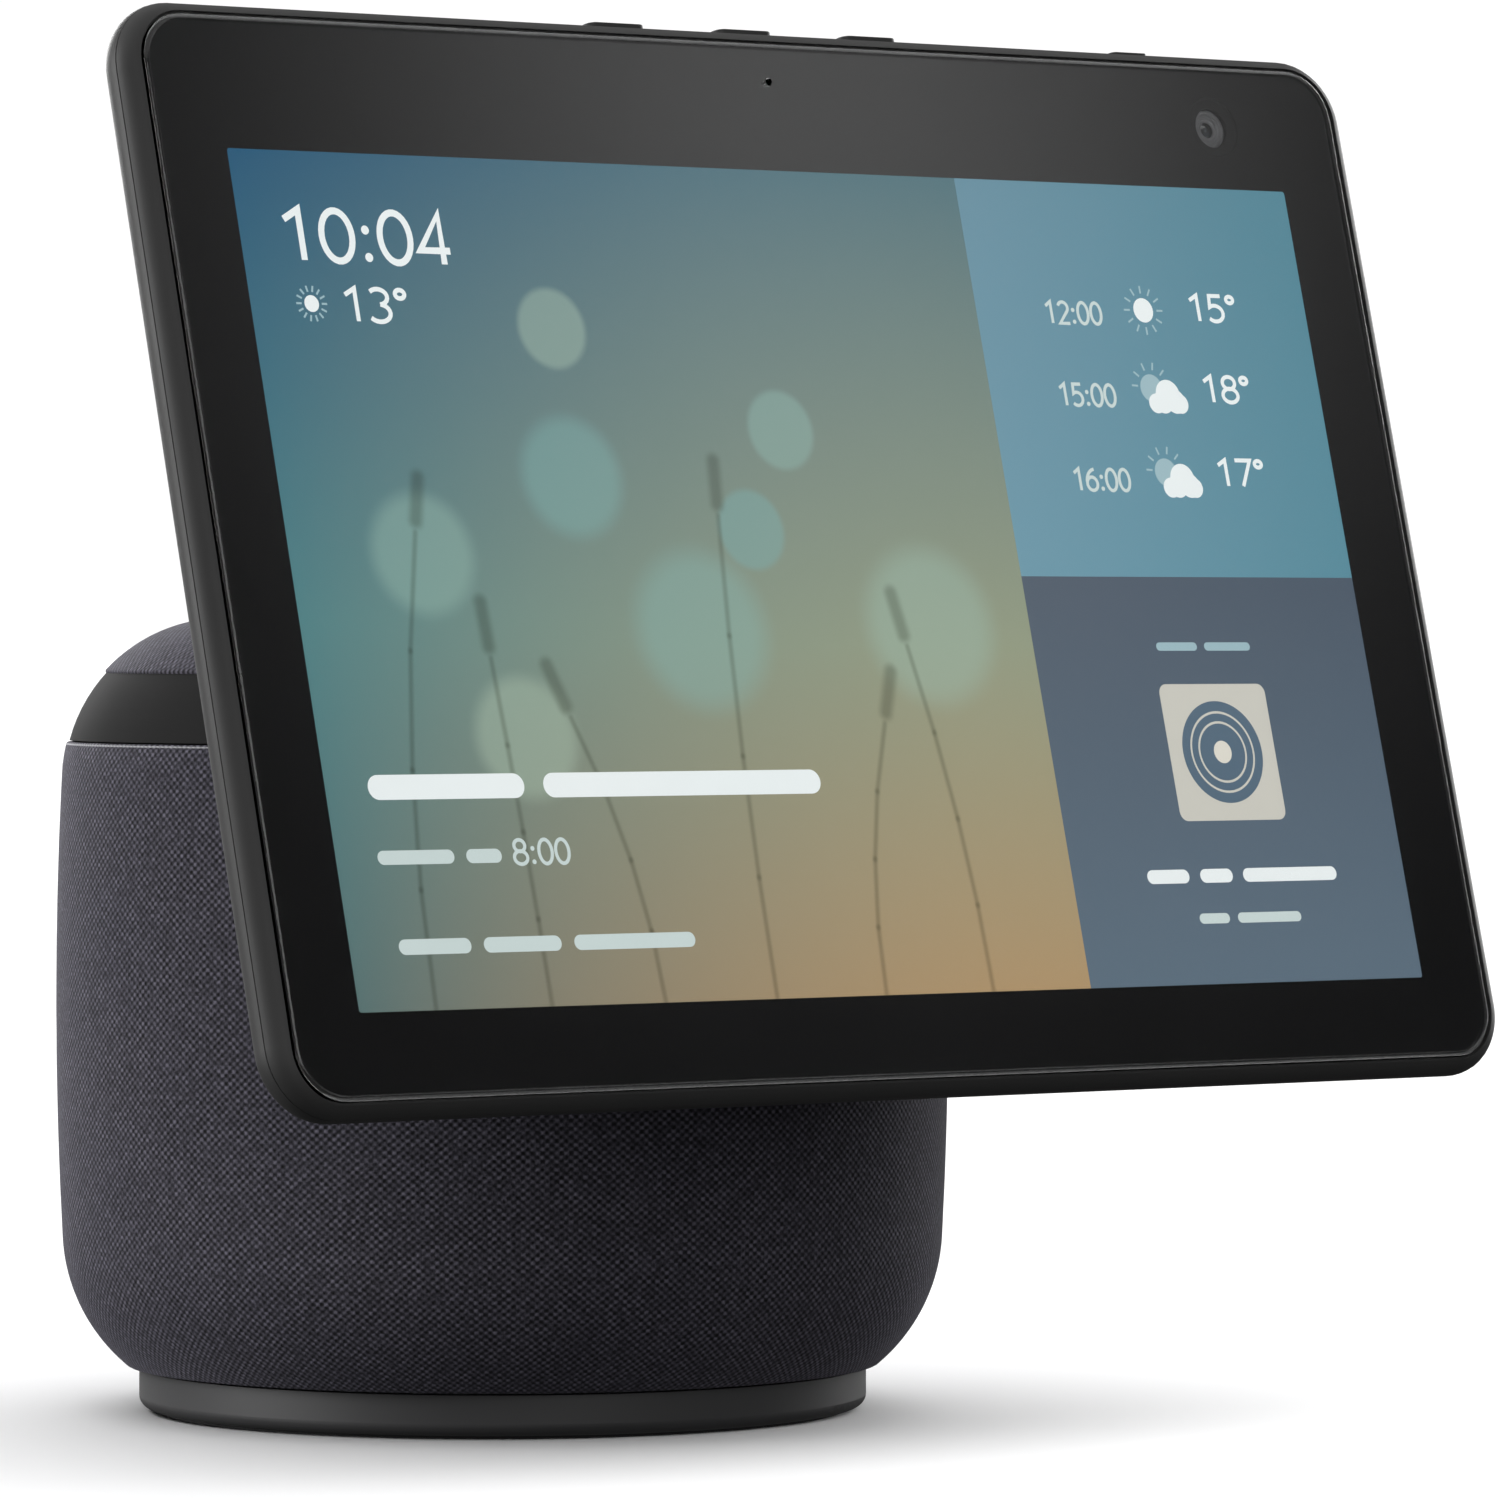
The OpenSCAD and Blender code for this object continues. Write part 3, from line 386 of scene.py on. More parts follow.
def crown_cells(paint):
    """Straight across the top, as flat cloth pulled over it."""
    x, y, _ = paint.node("ShaderNodeSeparateXYZ", paint.place).outputs[:3]
    return paint.math("DIVIDE", x, CELL_W), paint.math("DIVIDE", y, CELL_H)


def hem_thread(name, colour):
    """Twisted thread of a hem."""
    paint = Paint(name, Specular_IOR_Level=0.2, Roughness=0.8, Sheen_Weight=0.3)
    x, y, z = paint.node("ShaderNodeSeparateXYZ", paint.place).outputs[:3]
    angle = paint.math("MULTIPLY", paint.math("ARCTAN2", y, x), 420.0)
    twist = paint.math("SINE", paint.math("ADD", angle, paint.math("MULTIPLY", z, 5000.0)))
    dark, light = shades(colour, 0.25)
    paint.set("Base Color", paint.mix(paint.fit(twist, -1.0, 1.0, 0.0, 1.0), dark, light))
    paint.bump(twist, 0.04 * MM)
    return paint.material


def lit_paint(name):
    """A paint whose colour is the light that it gives off."""
    paint = Paint(name, Roughness=0.6, Specular_IOR_Level=0.2, Emission_Strength=1.0)
    paint.shader.inputs["Base Color"].default_value = (0.01, 0.01, 0.01, 1.0)
    return paint


def glow(name, colour):
    """A lit part of the screen's picture, of one colour with faint slow patches."""
    paint = lit_paint(name)
    shade = paint.noise(6 * MM, 1)
    dark, light = shades(colour, 0.015)
    paint.set("Emission Color", paint.mix(shade, dark, light))
    return paint.material


# ------------------------------------------------------------------ the screen's picture


def screen_place(paint):
    """Across and up coordinates on the screen, in mm from the middle of the lit area."""
    from_centre = paint.vector("SUBTRACT", paint.place, CENTRE)
    x = paint.vector("DOT_PRODUCT", from_centre, ACROSS / MM, out=1)
    y = paint.vector("DOT_PRODUCT", from_centre, UP / MM, out=1)
    return x, y


PANEL_EDGE = 36.3          # where the left picture ends and the side panels start
PANEL_SPLIT = 0.6          # height at which the upper side panel ends

GOLDEN_ANGLE = math.radians(137.5)
DISC_COUNT = 8
REED_COUNT = 6
REED = (0.34, 0.35, 0.3, 1.0)      # a reed darkens the sky by this much
HEAD_LENGTH = 7                    # length of a reed's seed head


def soft_discs():
    """Out-of-focus lights, spread by the golden angle: place, radius, softness, colour and share."""
    for i in range(DISC_COUNT):
        turn, reach = GOLDEN_ANGLE * i, 16 + 8.5 * i
        radius = 6.5 + 3 * (i % 3)
        light = srgb(120 + 8 * i, 176 + 3 * i, 176)
        yield (-34 + reach * math.cos(turn), 8 + 0.5 * reach * math.sin(turn), radius, 0.8 + 1.2 * (i % 3),
               light, 0.38)


def reeds():
    """Slim reeds that rise from the foot of the picture: strokes with ends, width, softness and share."""
    for i in range(REED_COUNT):
        foot, height, lean = -94 + 22 * i, 58 + 20 * math.sin(2.3 * i + 1), 10 * math.cos(1.7 * i)
        stem = [Vector((foot + lean * t ** 2, height * t - LIT_H / 2)) for t in (0, 0.25, 0.5, 0.75, 1)]
        for start, end in zip(stem, stem[1:]):
            yield start, end, 0.35, 0.5, REED, 0.5
        tip = stem[-1] + 2 * (stem[-1] - stem[-2]).normalized()
        yield tip, tip + HEAD_LENGTH * (stem[-1] - stem[-2]).normalized(), 1.2, 0.9, REED, 0.6


def stroke_group():
    """Node group: how much of a soft stroke, which starts at a point and runs along, covers a place."""
    group = bpy.data.node_groups.new("stroke", "ShaderNodeTree")
    for name in ("Place", "From", "Along"):
        group.interface.new_socket(name=name, in_out="INPUT", socket_type="NodeSocketVector")
    for name in ("Inner", "Outer"):
        group.interface.new_socket(name=name, in_out="INPUT", socket_type="NodeSocketFloat")
    group.interface.new_socket(name="Share", in_out="OUTPUT", socket_type="NodeSocketFloat")
    tree = Nodes(group)
    place, start, along, inner, outer = tree.node("NodeGroupInput").outputs[:5]
    reach = tree.vector("SUBTRACT", place, start)
    dots = [tree.vector("DOT_PRODUCT", first, along, out=1) for first in (reach, along)]
    share = tree.node("ShaderNodeMath", *dots, operation="DIVIDE", use_clamp=True).outputs[0]
    gap = tree.vector("DISTANCE", reach, tree.vector("SCALE", along, None, None, share), out=1)
    tree.node("NodeGroupOutput", tree.fit(gap, inner, outer, 1.0, 0.0, smooth=True))
    return group


def picture_paint(name):
    """The left picture, of the script's own design: a dusk sky from blue to tan, soft lights and reeds."""
    paint = lit_paint(name)
    x, y = screen_place(paint)
    height = paint.fit(y, -LIT_H / 2, LIT_H / 2, 0.0, 1.0)
    left = paint.ramp(height, [(0.0, srgb(88, 114, 113)), (1.0, srgb(24, 85, 119)),
                               (0.45, srgb(80, 130, 134))])
    right = paint.ramp(height, [(0.0, srgb(177, 148, 108)), (1.0, srgb(60, 103, 113)),
                                (0.42, srgb(147, 155, 129))])
    rest = paint.fit(x, -LIT_W / 2, PANEL_EDGE, 1.0, 0.0)
    across = paint.math("SUBTRACT", 1.0, paint.math("POWER", rest, 1.8))
    colour = paint.mix(across, left, right)
    place = paint.node("ShaderNodeCombineXYZ", x, y, 0.0).outputs[0]
    for disc_x, disc_y, radius, soft, light, share in soft_discs():
        gap = paint.vector("DISTANCE", place, (disc_x, disc_y, 0.0), out=1)
        cover = paint.fit(gap, radius - soft, radius + soft, share, 0.0, smooth=True)
        colour = paint.mix(cover, colour, light)
    group = stroke_group()
    for start, end, width, soft, dark, share in reeds():
        stroke = paint.node("ShaderNodeGroup")
        stroke.node_tree = group
        values = (place, (*start, 0.0), (end[0] - start[0], end[1] - start[1], 0.0),
                  max(width - soft, 0.0), width + soft)
        for socket, value in zip(stroke.inputs, values):
            paint.feed(socket, value)
        colour = paint.mix(paint.math("MULTIPLY", stroke.outputs[0], share), colour, dark, "MULTIPLY")
    paint.set("Emission Color", colour)
    return paint.material


def sky_panel(name, top, bottom, sideways):
    """A side panel: one colour fading to another downwards, and slightly darker to the right."""
    paint = lit_paint(name)
    x, y = screen_place(paint)
    (low, low_colour), (high, high_colour) = bottom, top
    colour = paint.mix(paint.fit(y, low, high, 0.0, 1.0), low_colour, high_colour)
    shade = paint.fit(x, PANEL_EDGE, LIT_W / 2, 0.0, sideways)
    paint.set("Emission Color", paint.mix(shade, colour, srgb(66, 129, 144)))
    return paint.material


# ------------------------------------------------------------------ meshes


class Shape:
    """Vertices and faces gathered for one piece."""

    def __init__(self):
        self.points = []
        self.faces = []

    def add(self, points, faces):
        first = len(self.points)
        self.points += points
        self.faces += [[first + i for i in face] for face in faces]

    def prism(self, outline, low, high):
        """A closed plate on the screen between two depths, its outline (x, y) anticlockwise in mm."""
        count = len(outline)
        points = [on_screen(x, y, z) for z in (low, high) for x, y in outline]
        sides = [[i, (i + 1) % count, count + (i + 1) % count, count + i] for i in range(count)]
        self.add(points, [list(range(count - 1, -1, -1)), list(range(count, 2 * count)), *sides])

    def ribbon(self, line, width, low, high, closed=False):
        """A closed strip of even width along a line on the screen, in mm."""
        count = len(line)
        points = []
        for i, (x, y) in enumerate(line):
            before = line[(i - 1) % count] if closed or i else line[i]
            after = line[(i + 1) % count] if closed or i < count - 1 else line[i]
            entry = Vector((x - before[0], y - before[1]))
            leave = Vector((after[0] - x, after[1] - y))
            entry = entry.normalized() if entry.length else leave.normalized()
            leave = leave.normalized() if leave.length else entry
            way = (entry + leave).normalized()
            half = width / 2 / max(way.dot(leave), 0.5)
            side = Vector((-way.y, way.x)) * half
            points += [on_screen(x + s * side.x, y + s * side.y, z) for z in (low, high) for s in (-1, 1)]
        faces = []
        for i in range(count if closed else count - 1):
            a, b = 4 * i, 4 * ((i + 1) % count)
            faces += [[a, a + 1, b + 1, b], [a + 2, b + 2, b + 3, a + 3],
                      [a, b, b + 2, a + 2], [a + 1, a + 3, b + 3, b + 1]]
        if not closed:
            end = 4 * (count - 1)
            faces += [[0, 2, 3, 1], [end, end + 1, end + 3, end + 2]]
        self.add(points, faces)

    def tube(self, centre, rings, steps):
        """A closed ring round a place on the screen, its section given as (radius, depth) in mm."""
        points = [on_screen(x, y, z) for radius, z in rings for x, y in disc(*centre, radius, steps)]
        faces = []
        for k in range(len(rings)):
            a, b = k * steps, (k + 1) % len(rings) * steps
            faces += [[a + i, a + (i + 1) % steps, b + (i + 1) % steps, b + i] for i in range(steps)]
        self.add(points, faces)

    def object(self, name, material, smooth=False):
        mesh = bpy.data.meshes.new(name)
        mesh.from_pydata([tuple(p) for p in self.points], [], self.faces)
        work = bmesh.new()
        work.from_mesh(mesh)
        bmesh.ops.remove_doubles(work, verts=work.verts, dist=1e-7)
        bmesh.ops.recalc_face_normals(work, faces=work.faces)
        work.to_mesh(mesh)
        work.free()
        mesh.materials.append(material)
        mesh.polygons.foreach_set("use_smooth", [smooth] * len(mesh.polygons))
        made = bpy.data.objects.new(name, mesh)
        bpy.context.scene.collection.objects.link(made)
        return made


def place_piece(made, body, slot, *stands_for):
    """Puts a piece on its body and hides the CAD nodes that it stands for. The slot is not used."""
    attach(made, body)
    if stands_for:
        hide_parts(*stands_for)


def cut_away(made, cutters):
    """Cuts the cutters' shapes out of a piece and removes them."""
    for cutter in cutters:
        tool = made.modifiers.new("cut", "BOOLEAN")
        tool.operation = "DIFFERENCE"
        tool.solver = "EXACT"
        tool.object = cutter
    bpy.context.view_layer.update()
    graph = bpy.context.evaluated_depsgraph_get()
    mesh = bpy.data.meshes.new_from_object(made.evaluated_get(graph))
    made.modifiers.clear()
    made.data = mesh
    for cutter in cutters:
        bpy.data.objects.remove(cutter)


def arc_line(x, y, across, up, start, end, steps):
    """Points on an ellipse's arc, from one angle to another in degrees."""
    turns = [math.radians(start + (end - start) * i / steps) for i in range(steps + 1)]
    return [(x + across * math.cos(a), y + up * math.sin(a)) for a in turns]


def disc(x, y, radius, steps=40):
    return arc_line(x, y, radius, radius, 0, 360 - 360 / steps, steps - 1)


def pill(x, y, width, height, corner=None, steps=8):
    """Outline of a bar with round ends, or with smaller corners, centred on x, y."""
    r = min(width, height) / 2 if corner is None else corner
    line = []
    for start, sx, sy in ((0, 1, 1), (90, -1, 1), (180, -1, -1), (270, 1, -1)):
        line += arc_line(x + sx * (width / 2 - r), y + sy * (height / 2 - r), r, r, start, start + 90, steps)
    return line


def smooth_line(points, step):
    """A smooth line through the points, resampled at about every step along it."""
    line = []
    for i in range(len(points) - 1):
        a, b = points[max(i - 1, 0)], points[i]
        c, d = points[i + 1], points[min(i + 2, len(points) - 1)]
        parts = max(1, round((c - b).length / step))
        for k in range(parts):
            t = k / parts
            line.append(0.5 * (2 * b + (c - a) * t + (2 * a - 5 * b + 4 * c - d) * t ** 2
                               + (3 * b - a - 3 * c + d) * t ** 3))
    return line + [points[-1]]


def outer_profile(node):
    """The outer outline of a turned CAD node, bottom to top, as (radius, height) vectors."""
    found = {(round(math.hypot(v.co.x, v.co.y), 6), round(v.co.z, 6)) for v in nodes[node].data.vertices}
    lowest = min(z for _, z in found)
    start = max(p for p in found if p[1] == lowest)
    ordered = [start, *sorted((p for p in found if p[1] > lowest), key=lambda p: (p[1], p[0]))]
    kept = []
    for p in ordered:
        while len(kept) > 1:
            (r0, z0), (r1, z1) = kept[-2:]
            if (r1 - r0) * (p[1] - z0) - (z1 - z0) * (p[0] - r0) > 0:
                break
            kept.pop()
        kept.append(p)
    return [Vector(p) for p in kept]


def lathe(name, profile, material, segments=240):
    """A smooth turned shell from a closed (radius, height) profile, as one ring of faces."""
    count = len(profile)
    shape = Shape()
    points = []
    for i in range(segments):
        turn = 2 * math.pi * i / segments
        points += [Vector((p[0] * math.cos(turn), p[0] * math.sin(turn), p[1])) for p in profile]
    faces = []
    for i in range(segments):
        a, b = i * count, (i + 1) % segments * count
        for k in range(count):
            n = (k + 1) % count
            faces.append([a + k, b + k, b + n, a + n])
    shape.add(points, faces)
    return shape.object(name, material, smooth=True)


def store_along(made, profile):
    """Stores on each vertex how far along the profile its height lies, in metres."""
    lengths = [0.0]
    for a, b in zip(profile, profile[1:]):
        lengths.append(lengths[-1] + (b - a).length)
    attribute = made.data.attributes.new("along", "FLOAT", "POINT")
    k_of = {round(p[1], 7): s for p, s in zip(profile, lengths)}
    heights = sorted(k_of)
    values = []
    for v in made.data.vertices:
        z = v.co.z
        above = next((h for h in heights if h >= z), heights[-1])
        below = next((h for h in reversed(heights) if h <= z), heights[0])
        share = (z - below) / (above - below) if above > below else 0.0
        values.append(k_of[below] + (k_of[above] - k_of[below]) * share)
    attribute.data.foreach_set("value", values)
    return lengths[-1]


# ------------------------------------------------------------------ cloth

CLOTH_T = 0.9 * MM
WIDEST = max(p[0] for p in outer_profile("fabric_sleeve"))


def inward(profile, depth):
    """The profile drawn in by a depth, square to itself."""
    line = []
    for i, p in enumerate(profile):
        way = profile[min(i + 1, len(profile) - 1)] - profile[max(i - 1, 0)]
        way.normalize()
        line.append(Vector((max(p[0] - way.y * depth, 0.0), p[1] + way.x * depth)))
    return line


def rolled_edge(outer, inner, steps=5):
    """Points of a half-round edge from an outer point to an inner one."""
    centre = (outer + inner) / 2
    arm = outer - centre
    side = Vector((arm.y, -arm.x))
    turns = [math.pi * i / (steps + 1) for i in range(1, steps + 1)]
    return [centre + arm * math.cos(t) - side * math.sin(t) for t in turns]


def make_cloth():
    """The knitted sleeve round the body, and the round cloth over its top, both pulled tight."""
    side = smooth_line(outer_profile("fabric_sleeve"), 1.2 * MM)
    side_inner = inward(side, CLOTH_T)
    loop = side + rolled_edge(side[-1], side_inner[-1]) + side_inner[::-1]
    loop += rolled_edge(side_inner[0], side[0])
    sleeve = lathe("sleeve_cloth", loop, cloth("sleeve_weave", sleeve_cells))
    length = store_along(sleeve, side)
    place_piece(sleeve, "speaker", "knit_fabric", "fabric_sleeve")
    hem = bead("sleeve_hem", side[-1][0] - 0.25 * MM, side[-1][1] - 0.1 * MM, 0.3 * MM,
               hem_thread("pale_hem", srgb(138, 138, 142)))
    place_piece(hem, "speaker", "knit_fabric")

    top = smooth_line(outer_profile("top_fabric"), 1.2 * MM)
    top[-1][0] = 0.0
    top_inner = inward(top, CLOTH_T)
    top_inner[-1][0] = 0.0
    loop = rolled_edge(top_inner[0], top[0]) + top + top_inner[::-1]
    crown = lathe("crown_cloth", loop, cloth("crown_weave", crown_cells))
    place_piece(crown, "speaker", "knit_fabric", "top_fabric")
    reach = sum((b - a).length for a, b in zip(top, top[1:]))
    crown_hem = bead("crown_hem", top[0][0] - 0.42 * MM, top[0][1] + 0.05 * MM, 0.22 * MM,
                     hem_thread("grey_hem", srgb(52, 51, 57)))
    place_piece(crown_hem, "speaker", "knit_fabric")


def bead(name, radius, height, r, material):
    """A thin round bead that runs all the way round the body."""
    turns = [2 * math.pi * i / 10 for i in range(10)]
    profile = [Vector((radius + r * math.cos(t), height + r * math.sin(t))) for t in turns]
    return lathe(name, profile, material)


def make_collar():
    """The smooth band between the two cloths, with the slot that the display's arm passes through."""
    side = smooth_line(outer_profile("collar_band"), 1.2 * MM)
    loop = side + inward(side, 2.3 * MM)[::-1]
    band = lathe("collar_ring", loop, FINISHES["collar_plastic"])
    high = Vector(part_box("display_arm")[1])
    across = high.x + 0.6 * MM
    bottom, top = high.z - 8.4 * MM, high.z + 0.4 * MM
    shape = Shape()
    corners = [(x, y, z) for z in (bottom, top) for x, y in
               ((-across, -0.2), (across, -0.2), (across, -0.02), (-across, -0.02))]
    shape.add([Vector(c) for c in corners],
              [[0, 1, 2, 3], [7, 6, 5, 4], *[[i, (i + 1) % 4, 4 + (i + 1) % 4, 4 + i] for i in range(4)]])
    cut_away(band, [shape.object("cutter", FINISHES["collar_plastic"])])
    band.data.set_sharp_from_angle(angle=math.radians(35))
    place_piece(band, "speaker", "collar_plastic", "collar_band")


# ------------------------------------------------------------------ display case

EDGE_R = 4.3               # radius of the case's round edge
CASE_CORNER = 11.3
SEAM_Z = -3.15             # depth of the seam behind the glass's front face
BACK_Z = -12.2             # depth of the back's flat middle
DOME_REACH = 60.0          # how far the dome's slope runs in from the edge
BUTTON_W, BUTTON_H = 11.5, 3.2
KNOB_W, KNOB_H, KNOB_TRAVEL = 7.9, 2.0, 8.0
EDGE_GAP = 0.4             # play round a button, both sides together
EAR_X, EAR_T = 13.3, 4.0   # inner face and thickness of the hinge's ears


def case_ring(inset, corner, depth, steps=14):
    """A rounded rectangle drawn in from the case's outline, at a depth in mm."""
    line = pill(0, BORDER_UP, CASE_W - 2 * inset, CASE_H - 2 * inset, corner, steps)
    return [on_screen(x, y, depth) for x, y in line]


def back_rings():
    """Inset, corner radius and depth of each ring: round edge, domed back, then the inner side."""
    start = math.asin((SEAM_Z + EDGE_R) / EDGE_R) * -1
    end = math.radians(83)
    rings = []
    for i in range(15):
        turn = start + (end - start) * i / 14
        inset = EDGE_R * (1 - math.cos(turn))
        rings.append((inset, CASE_CORNER - inset, -EDGE_R - EDGE_R * math.sin(turn)))
    edge_inset, edge_corner, edge_depth = rings[-1]
    dome = []
    for i in range(1, 13):
        share = i / 12
        inset = edge_inset + DOME_REACH * share
        depth = edge_depth + (BACK_Z - edge_depth) * (1 - (1 - share) ** 2)
        dome.append((inset, edge_corner + 14 * share, depth))
    inner = [(inset + 0.4, corner, depth + 1.6) for inset, corner, depth in reversed(dome)]
    wall = [(4.2, 7.6, edge_depth + 1.5), (3.4, 7.9, -6.2), (3.2, 8.1, SEAM_Z)]
    return rings + dome, inner + wall


def make_back_shell():
    """The smooth rear cover, with its openings for the buttons, the shutter and the hinge."""
    outer, inner = back_rings()
    shape = Shape()
    rings = [case_ring(*ring) for ring in outer + inner]
    count = len(rings[0])
    points = [p for ring in rings for p in ring]
    faces = []
    middle_gap = len(outer) - 1            # the dome's flat middle, closed by two faces of its own
    for i in range(len(rings)):
        if i == middle_gap:
            continue
        a, b = i * count, (i + 1) % len(rings) * count
        faces += [[a + k, a + (k + 1) % count, b + (k + 1) % count, b + k] for k in range(count)]
    faces.append([middle_gap * count + k for k in range(count)])
    faces.append([(middle_gap + 1) * count + k for k in range(count)])
    shape.add(points, faces)
    shell = shape.object("back_shell", CASE_PLASTIC, smooth=True)
    cut_away(shell, [*edge_cutters(), *hinge_cutters()])
    shell.data.set_sharp_from_angle(angle=math.radians(35))
    place_piece(shell, "display", "case_plastic", "rear_cover")
    bpy.context.view_layer.update()
    posts = make_screw_posts()
    place_piece(posts, "display", "case_plastic")


def edge_cutters():
    """Shapes that open the case's top edge for each button and for the shutter's knob."""
    cutters = []
    depth = middle("mute_button", OUT) - CENTRE.dot(OUT)
    for node in ("mute_button", "volume_down_button", "volume_up_button"):
        x = middle(node, ACROSS) / MM
        cutters.append(edge_cutter(x, depth / MM, BUTTON_W + EDGE_GAP, BUTTON_H + EDGE_GAP))
    knob_x = span("camera_shutter", ACROSS)[0] / MM + KNOB_W / 2
    cutters.append(edge_cutter(knob_x + KNOB_TRAVEL / 2, depth / MM, KNOB_W + KNOB_TRAVEL + EDGE_GAP,
                               KNOB_H + EDGE_GAP))
    return cutters


def edge_cutter(x, depth, width, height):
    """A bar with round ends that passes through the case's top edge."""
    line = pill(x, depth, width, height)
    top = BORDER_UP + CASE_H / 2
    shape = Shape()
    count = len(line)
    points = [on_screen(px, y, z) for y in (top - 8, top + 4) for px, z in line]
    sides = [[i, (i + 1) % count, count + (i + 1) % count, count + i] for i in range(count)]
    shape.add(points, [list(range(count)), list(range(2 * count - 1, count - 1, -1)), *sides])
    return shape.object("cutter", CASE_PLASTIC)


def hinge_cutters():
    """Slots in the back for the hinge's two ears."""
    pin = Vector(joints["tilt"]["pos_m"]) - CENTRE
    pin_up = pin.dot(UP) / MM
    cutters = []
    for side in (-1, 1):
        shape = Shape()
        line = pill(side * (EAR_X + EAR_T / 2), pin_up, EAR_T + 0.8, 11.2, 0.6, 3)
        shape.prism(line, BACK_Z - 6, BACK_Z + 6)
        cutters.append(shape.object("cutter", CASE_PLASTIC))
    return cutters


def make_screw_posts():
    """Tubes inside the back that the case screws turn into."""
    shape = Shape()
    for x in (-108, -52, 52, 108):
        for y in (-75.8, 78.2):
            shape.tube((x, y), ((2.6, -8.6), (2.6, -6.35), (0.9, -6.35), (0.9, -8.6)), 24)
    return shape.object("screw_posts", CASE_PLASTIC)


def make_ink_border():
    """The black print under the glass, open over the lit area, the camera and the microphone."""
    glass_w, glass_h = screen_size("cover_glass", ACROSS), screen_size("cover_glass", UP)
    shape = Shape()
    shape.prism(pill(0, BORDER_UP, glass_w - 1.6, glass_h - 1.6, 7.7, 12), -1.30, -1.12)
    border = shape.object("ink_border", ink("black_print"))
    openings = [pill(0, 0, LIT_W, LIT_H, 0.5, 4), disc(*CAMERA_AT, 5.2, 64),
                disc(*MICROPHONE_AT, 0.8, 24)]
    cutters = []
    for line in openings:
        shape = Shape()
        shape.prism(line, -3, 0)
        cutters.append(shape.object("cutter", CASE_PLASTIC))
    cut_away(border, cutters)
    place_piece(border, "display", "black_ink", "black_border")


def make_camera_rings():
    """The black funnel that the camera looks through, and the lens barrel behind the shutter's blade."""
    for name, finish, slot, section in (
            ("camera_surround", plastic("camera_black", srgb(14, 14, 15), 0.5, shine=0.15), "black_ink",
             ((5.2, -1.32), (5.9, -1.32), (5.9, -1.83), (3.4, -1.83), (3.4, -1.75), (3.7, -1.68),
              (4.9, -1.55))),
            ("lens_barrel", plastic("barrel_grey", srgb(98, 98, 100), 0.28, grain=1.2, spread=0.6), "lens",
             ((3.35, -2.5), (3.35, -3.05), (1.3, -3.05), (1.3, -2.92), (1.7, -2.9), (1.8, -2.8), (2.3, -2.78),
              (2.4, -2.66), (2.9, -2.62), (3.0, -2.5)))):
        shape = Shape()
        shape.tube(CAMERA_AT, section, 64)
        ring = shape.object(name, finish, smooth=True)
        ring.data.set_sharp_from_angle(angle=math.radians(30))
        place_piece(ring, "display", slot)


# ------------------------------------------------------------------ what the screen shows

BACKDROP_Z = (-1.345, -1.315)      # depths of the picture, the panels and the marks on them
PANEL_Z = (-1.31, -1.29)
MARK_Z = (-1.28, -1.25)
TOP_MARK_Z = (-1.24, -1.21)
HIDDEN_SUN_Z = (-1.285, -1.282)    # the sun behind a cloud
LABEL_Z = (-1.208, -1.205)         # the label of the tile's record
DIGIT_W = 0.56                     # width of a digit whose height is 1
ADVANCE = {":": 0.36, "d": 0.36}


def digit_lines(sign):
    """The strokes of a digit in a box DIGIT_W wide and 1 high: lists of points, and if it closes."""
    w = DIGIT_W
    if sign == "0":
        return [(arc_line(w / 2, 0.5, w / 2, 0.5, 0, 348, 29), True)]
    if sign == "1":
        return [([(0.06, 0.8), (0.34, 1.0), (0.34, 0.0)], False)]
    if sign == "2":
        top = arc_line(w / 2, 0.73, w / 2 - 0.02, 0.27, 160, -35, 14)
        return [(top + [(0.02, 0.0), (w, 0.0)], False)]
    if sign == "3":
        upper = arc_line(w / 2 - 0.04, 0.76, w / 2 - 0.02, 0.24, 140, -80, 12)
        lower = arc_line(w / 2 - 0.05, 0.27, w / 2 + 0.02, 0.27, 80, -145, 14)
        return [(upper, False), (lower, False)]
    if sign == "4":
        return [([(w, 0.27), (0.0, 0.27), (0.42, 1.0), (0.42, 0.0)], False)]
    if sign == "5":
        bowl = arc_line(w / 2 - 0.04, 0.31, w / 2 + 0.02, 0.31, 110, -140, 16)
        return [([(w - 0.04, 1.0), (0.1, 1.0), (0.07, 0.56)] + bowl, False)]
    if sign == "6":
        tail = arc_line(w, 0.36, w, 0.64, 100, 178, 8)
        return [(tail, False), (arc_line(w / 2, 0.31, w / 2, 0.31, 0, 345, 23), True)]
    if sign == "7":
        return [([(0.0, 1.0), (w, 1.0), (0.18, 0.0)], False)]
    if sign == "8":
        upper = arc_line(w / 2, 0.76, w / 2 - 0.05, 0.24, 0, 345, 23)
        lower = arc_line(w / 2, 0.27, w / 2, 0.27, 0, 345, 23)
        return [(upper, True), (lower, True)]
    if sign == "d":
        return [(arc_line(0.14, 0.86, 0.13, 0.13, 0, 340, 17), True)]
    return []


def number(shape, signs, left, right, low, height, weight):
    """Draws digits from left to right between two edges. d stands for a degree sign."""
    advances = [ADVANCE.get(sign, 0.72) for sign in signs]
    spread = (right - left) / (sum(advances) - (advances[-1] - (0.27 if signs[-1] == "d" else DIGIT_W)))
    x = left
    for sign, advance in zip(signs, advances):
        if sign == ":":
            for y in (0.14, 0.62):
                shape.prism(disc(x + 0.1 * spread, low + y * height, weight * 0.66, 16), *MARK_Z)
        for line, closed in digit_lines(sign):
            placed = [(x + px * spread, low + py * (height - weight) + weight / 2) for px, py in line]
            shape.ribbon(placed, weight, *MARK_Z, closed=closed)
        x += advance * spread


def words(shape, low, height, spans):
    """Plain bars in place of a line of words, each from one edge to another."""
    for left, right in spans:
        shape.prism(pill((left + right) / 2, low + height / 2, right - left, height), *MARK_Z)


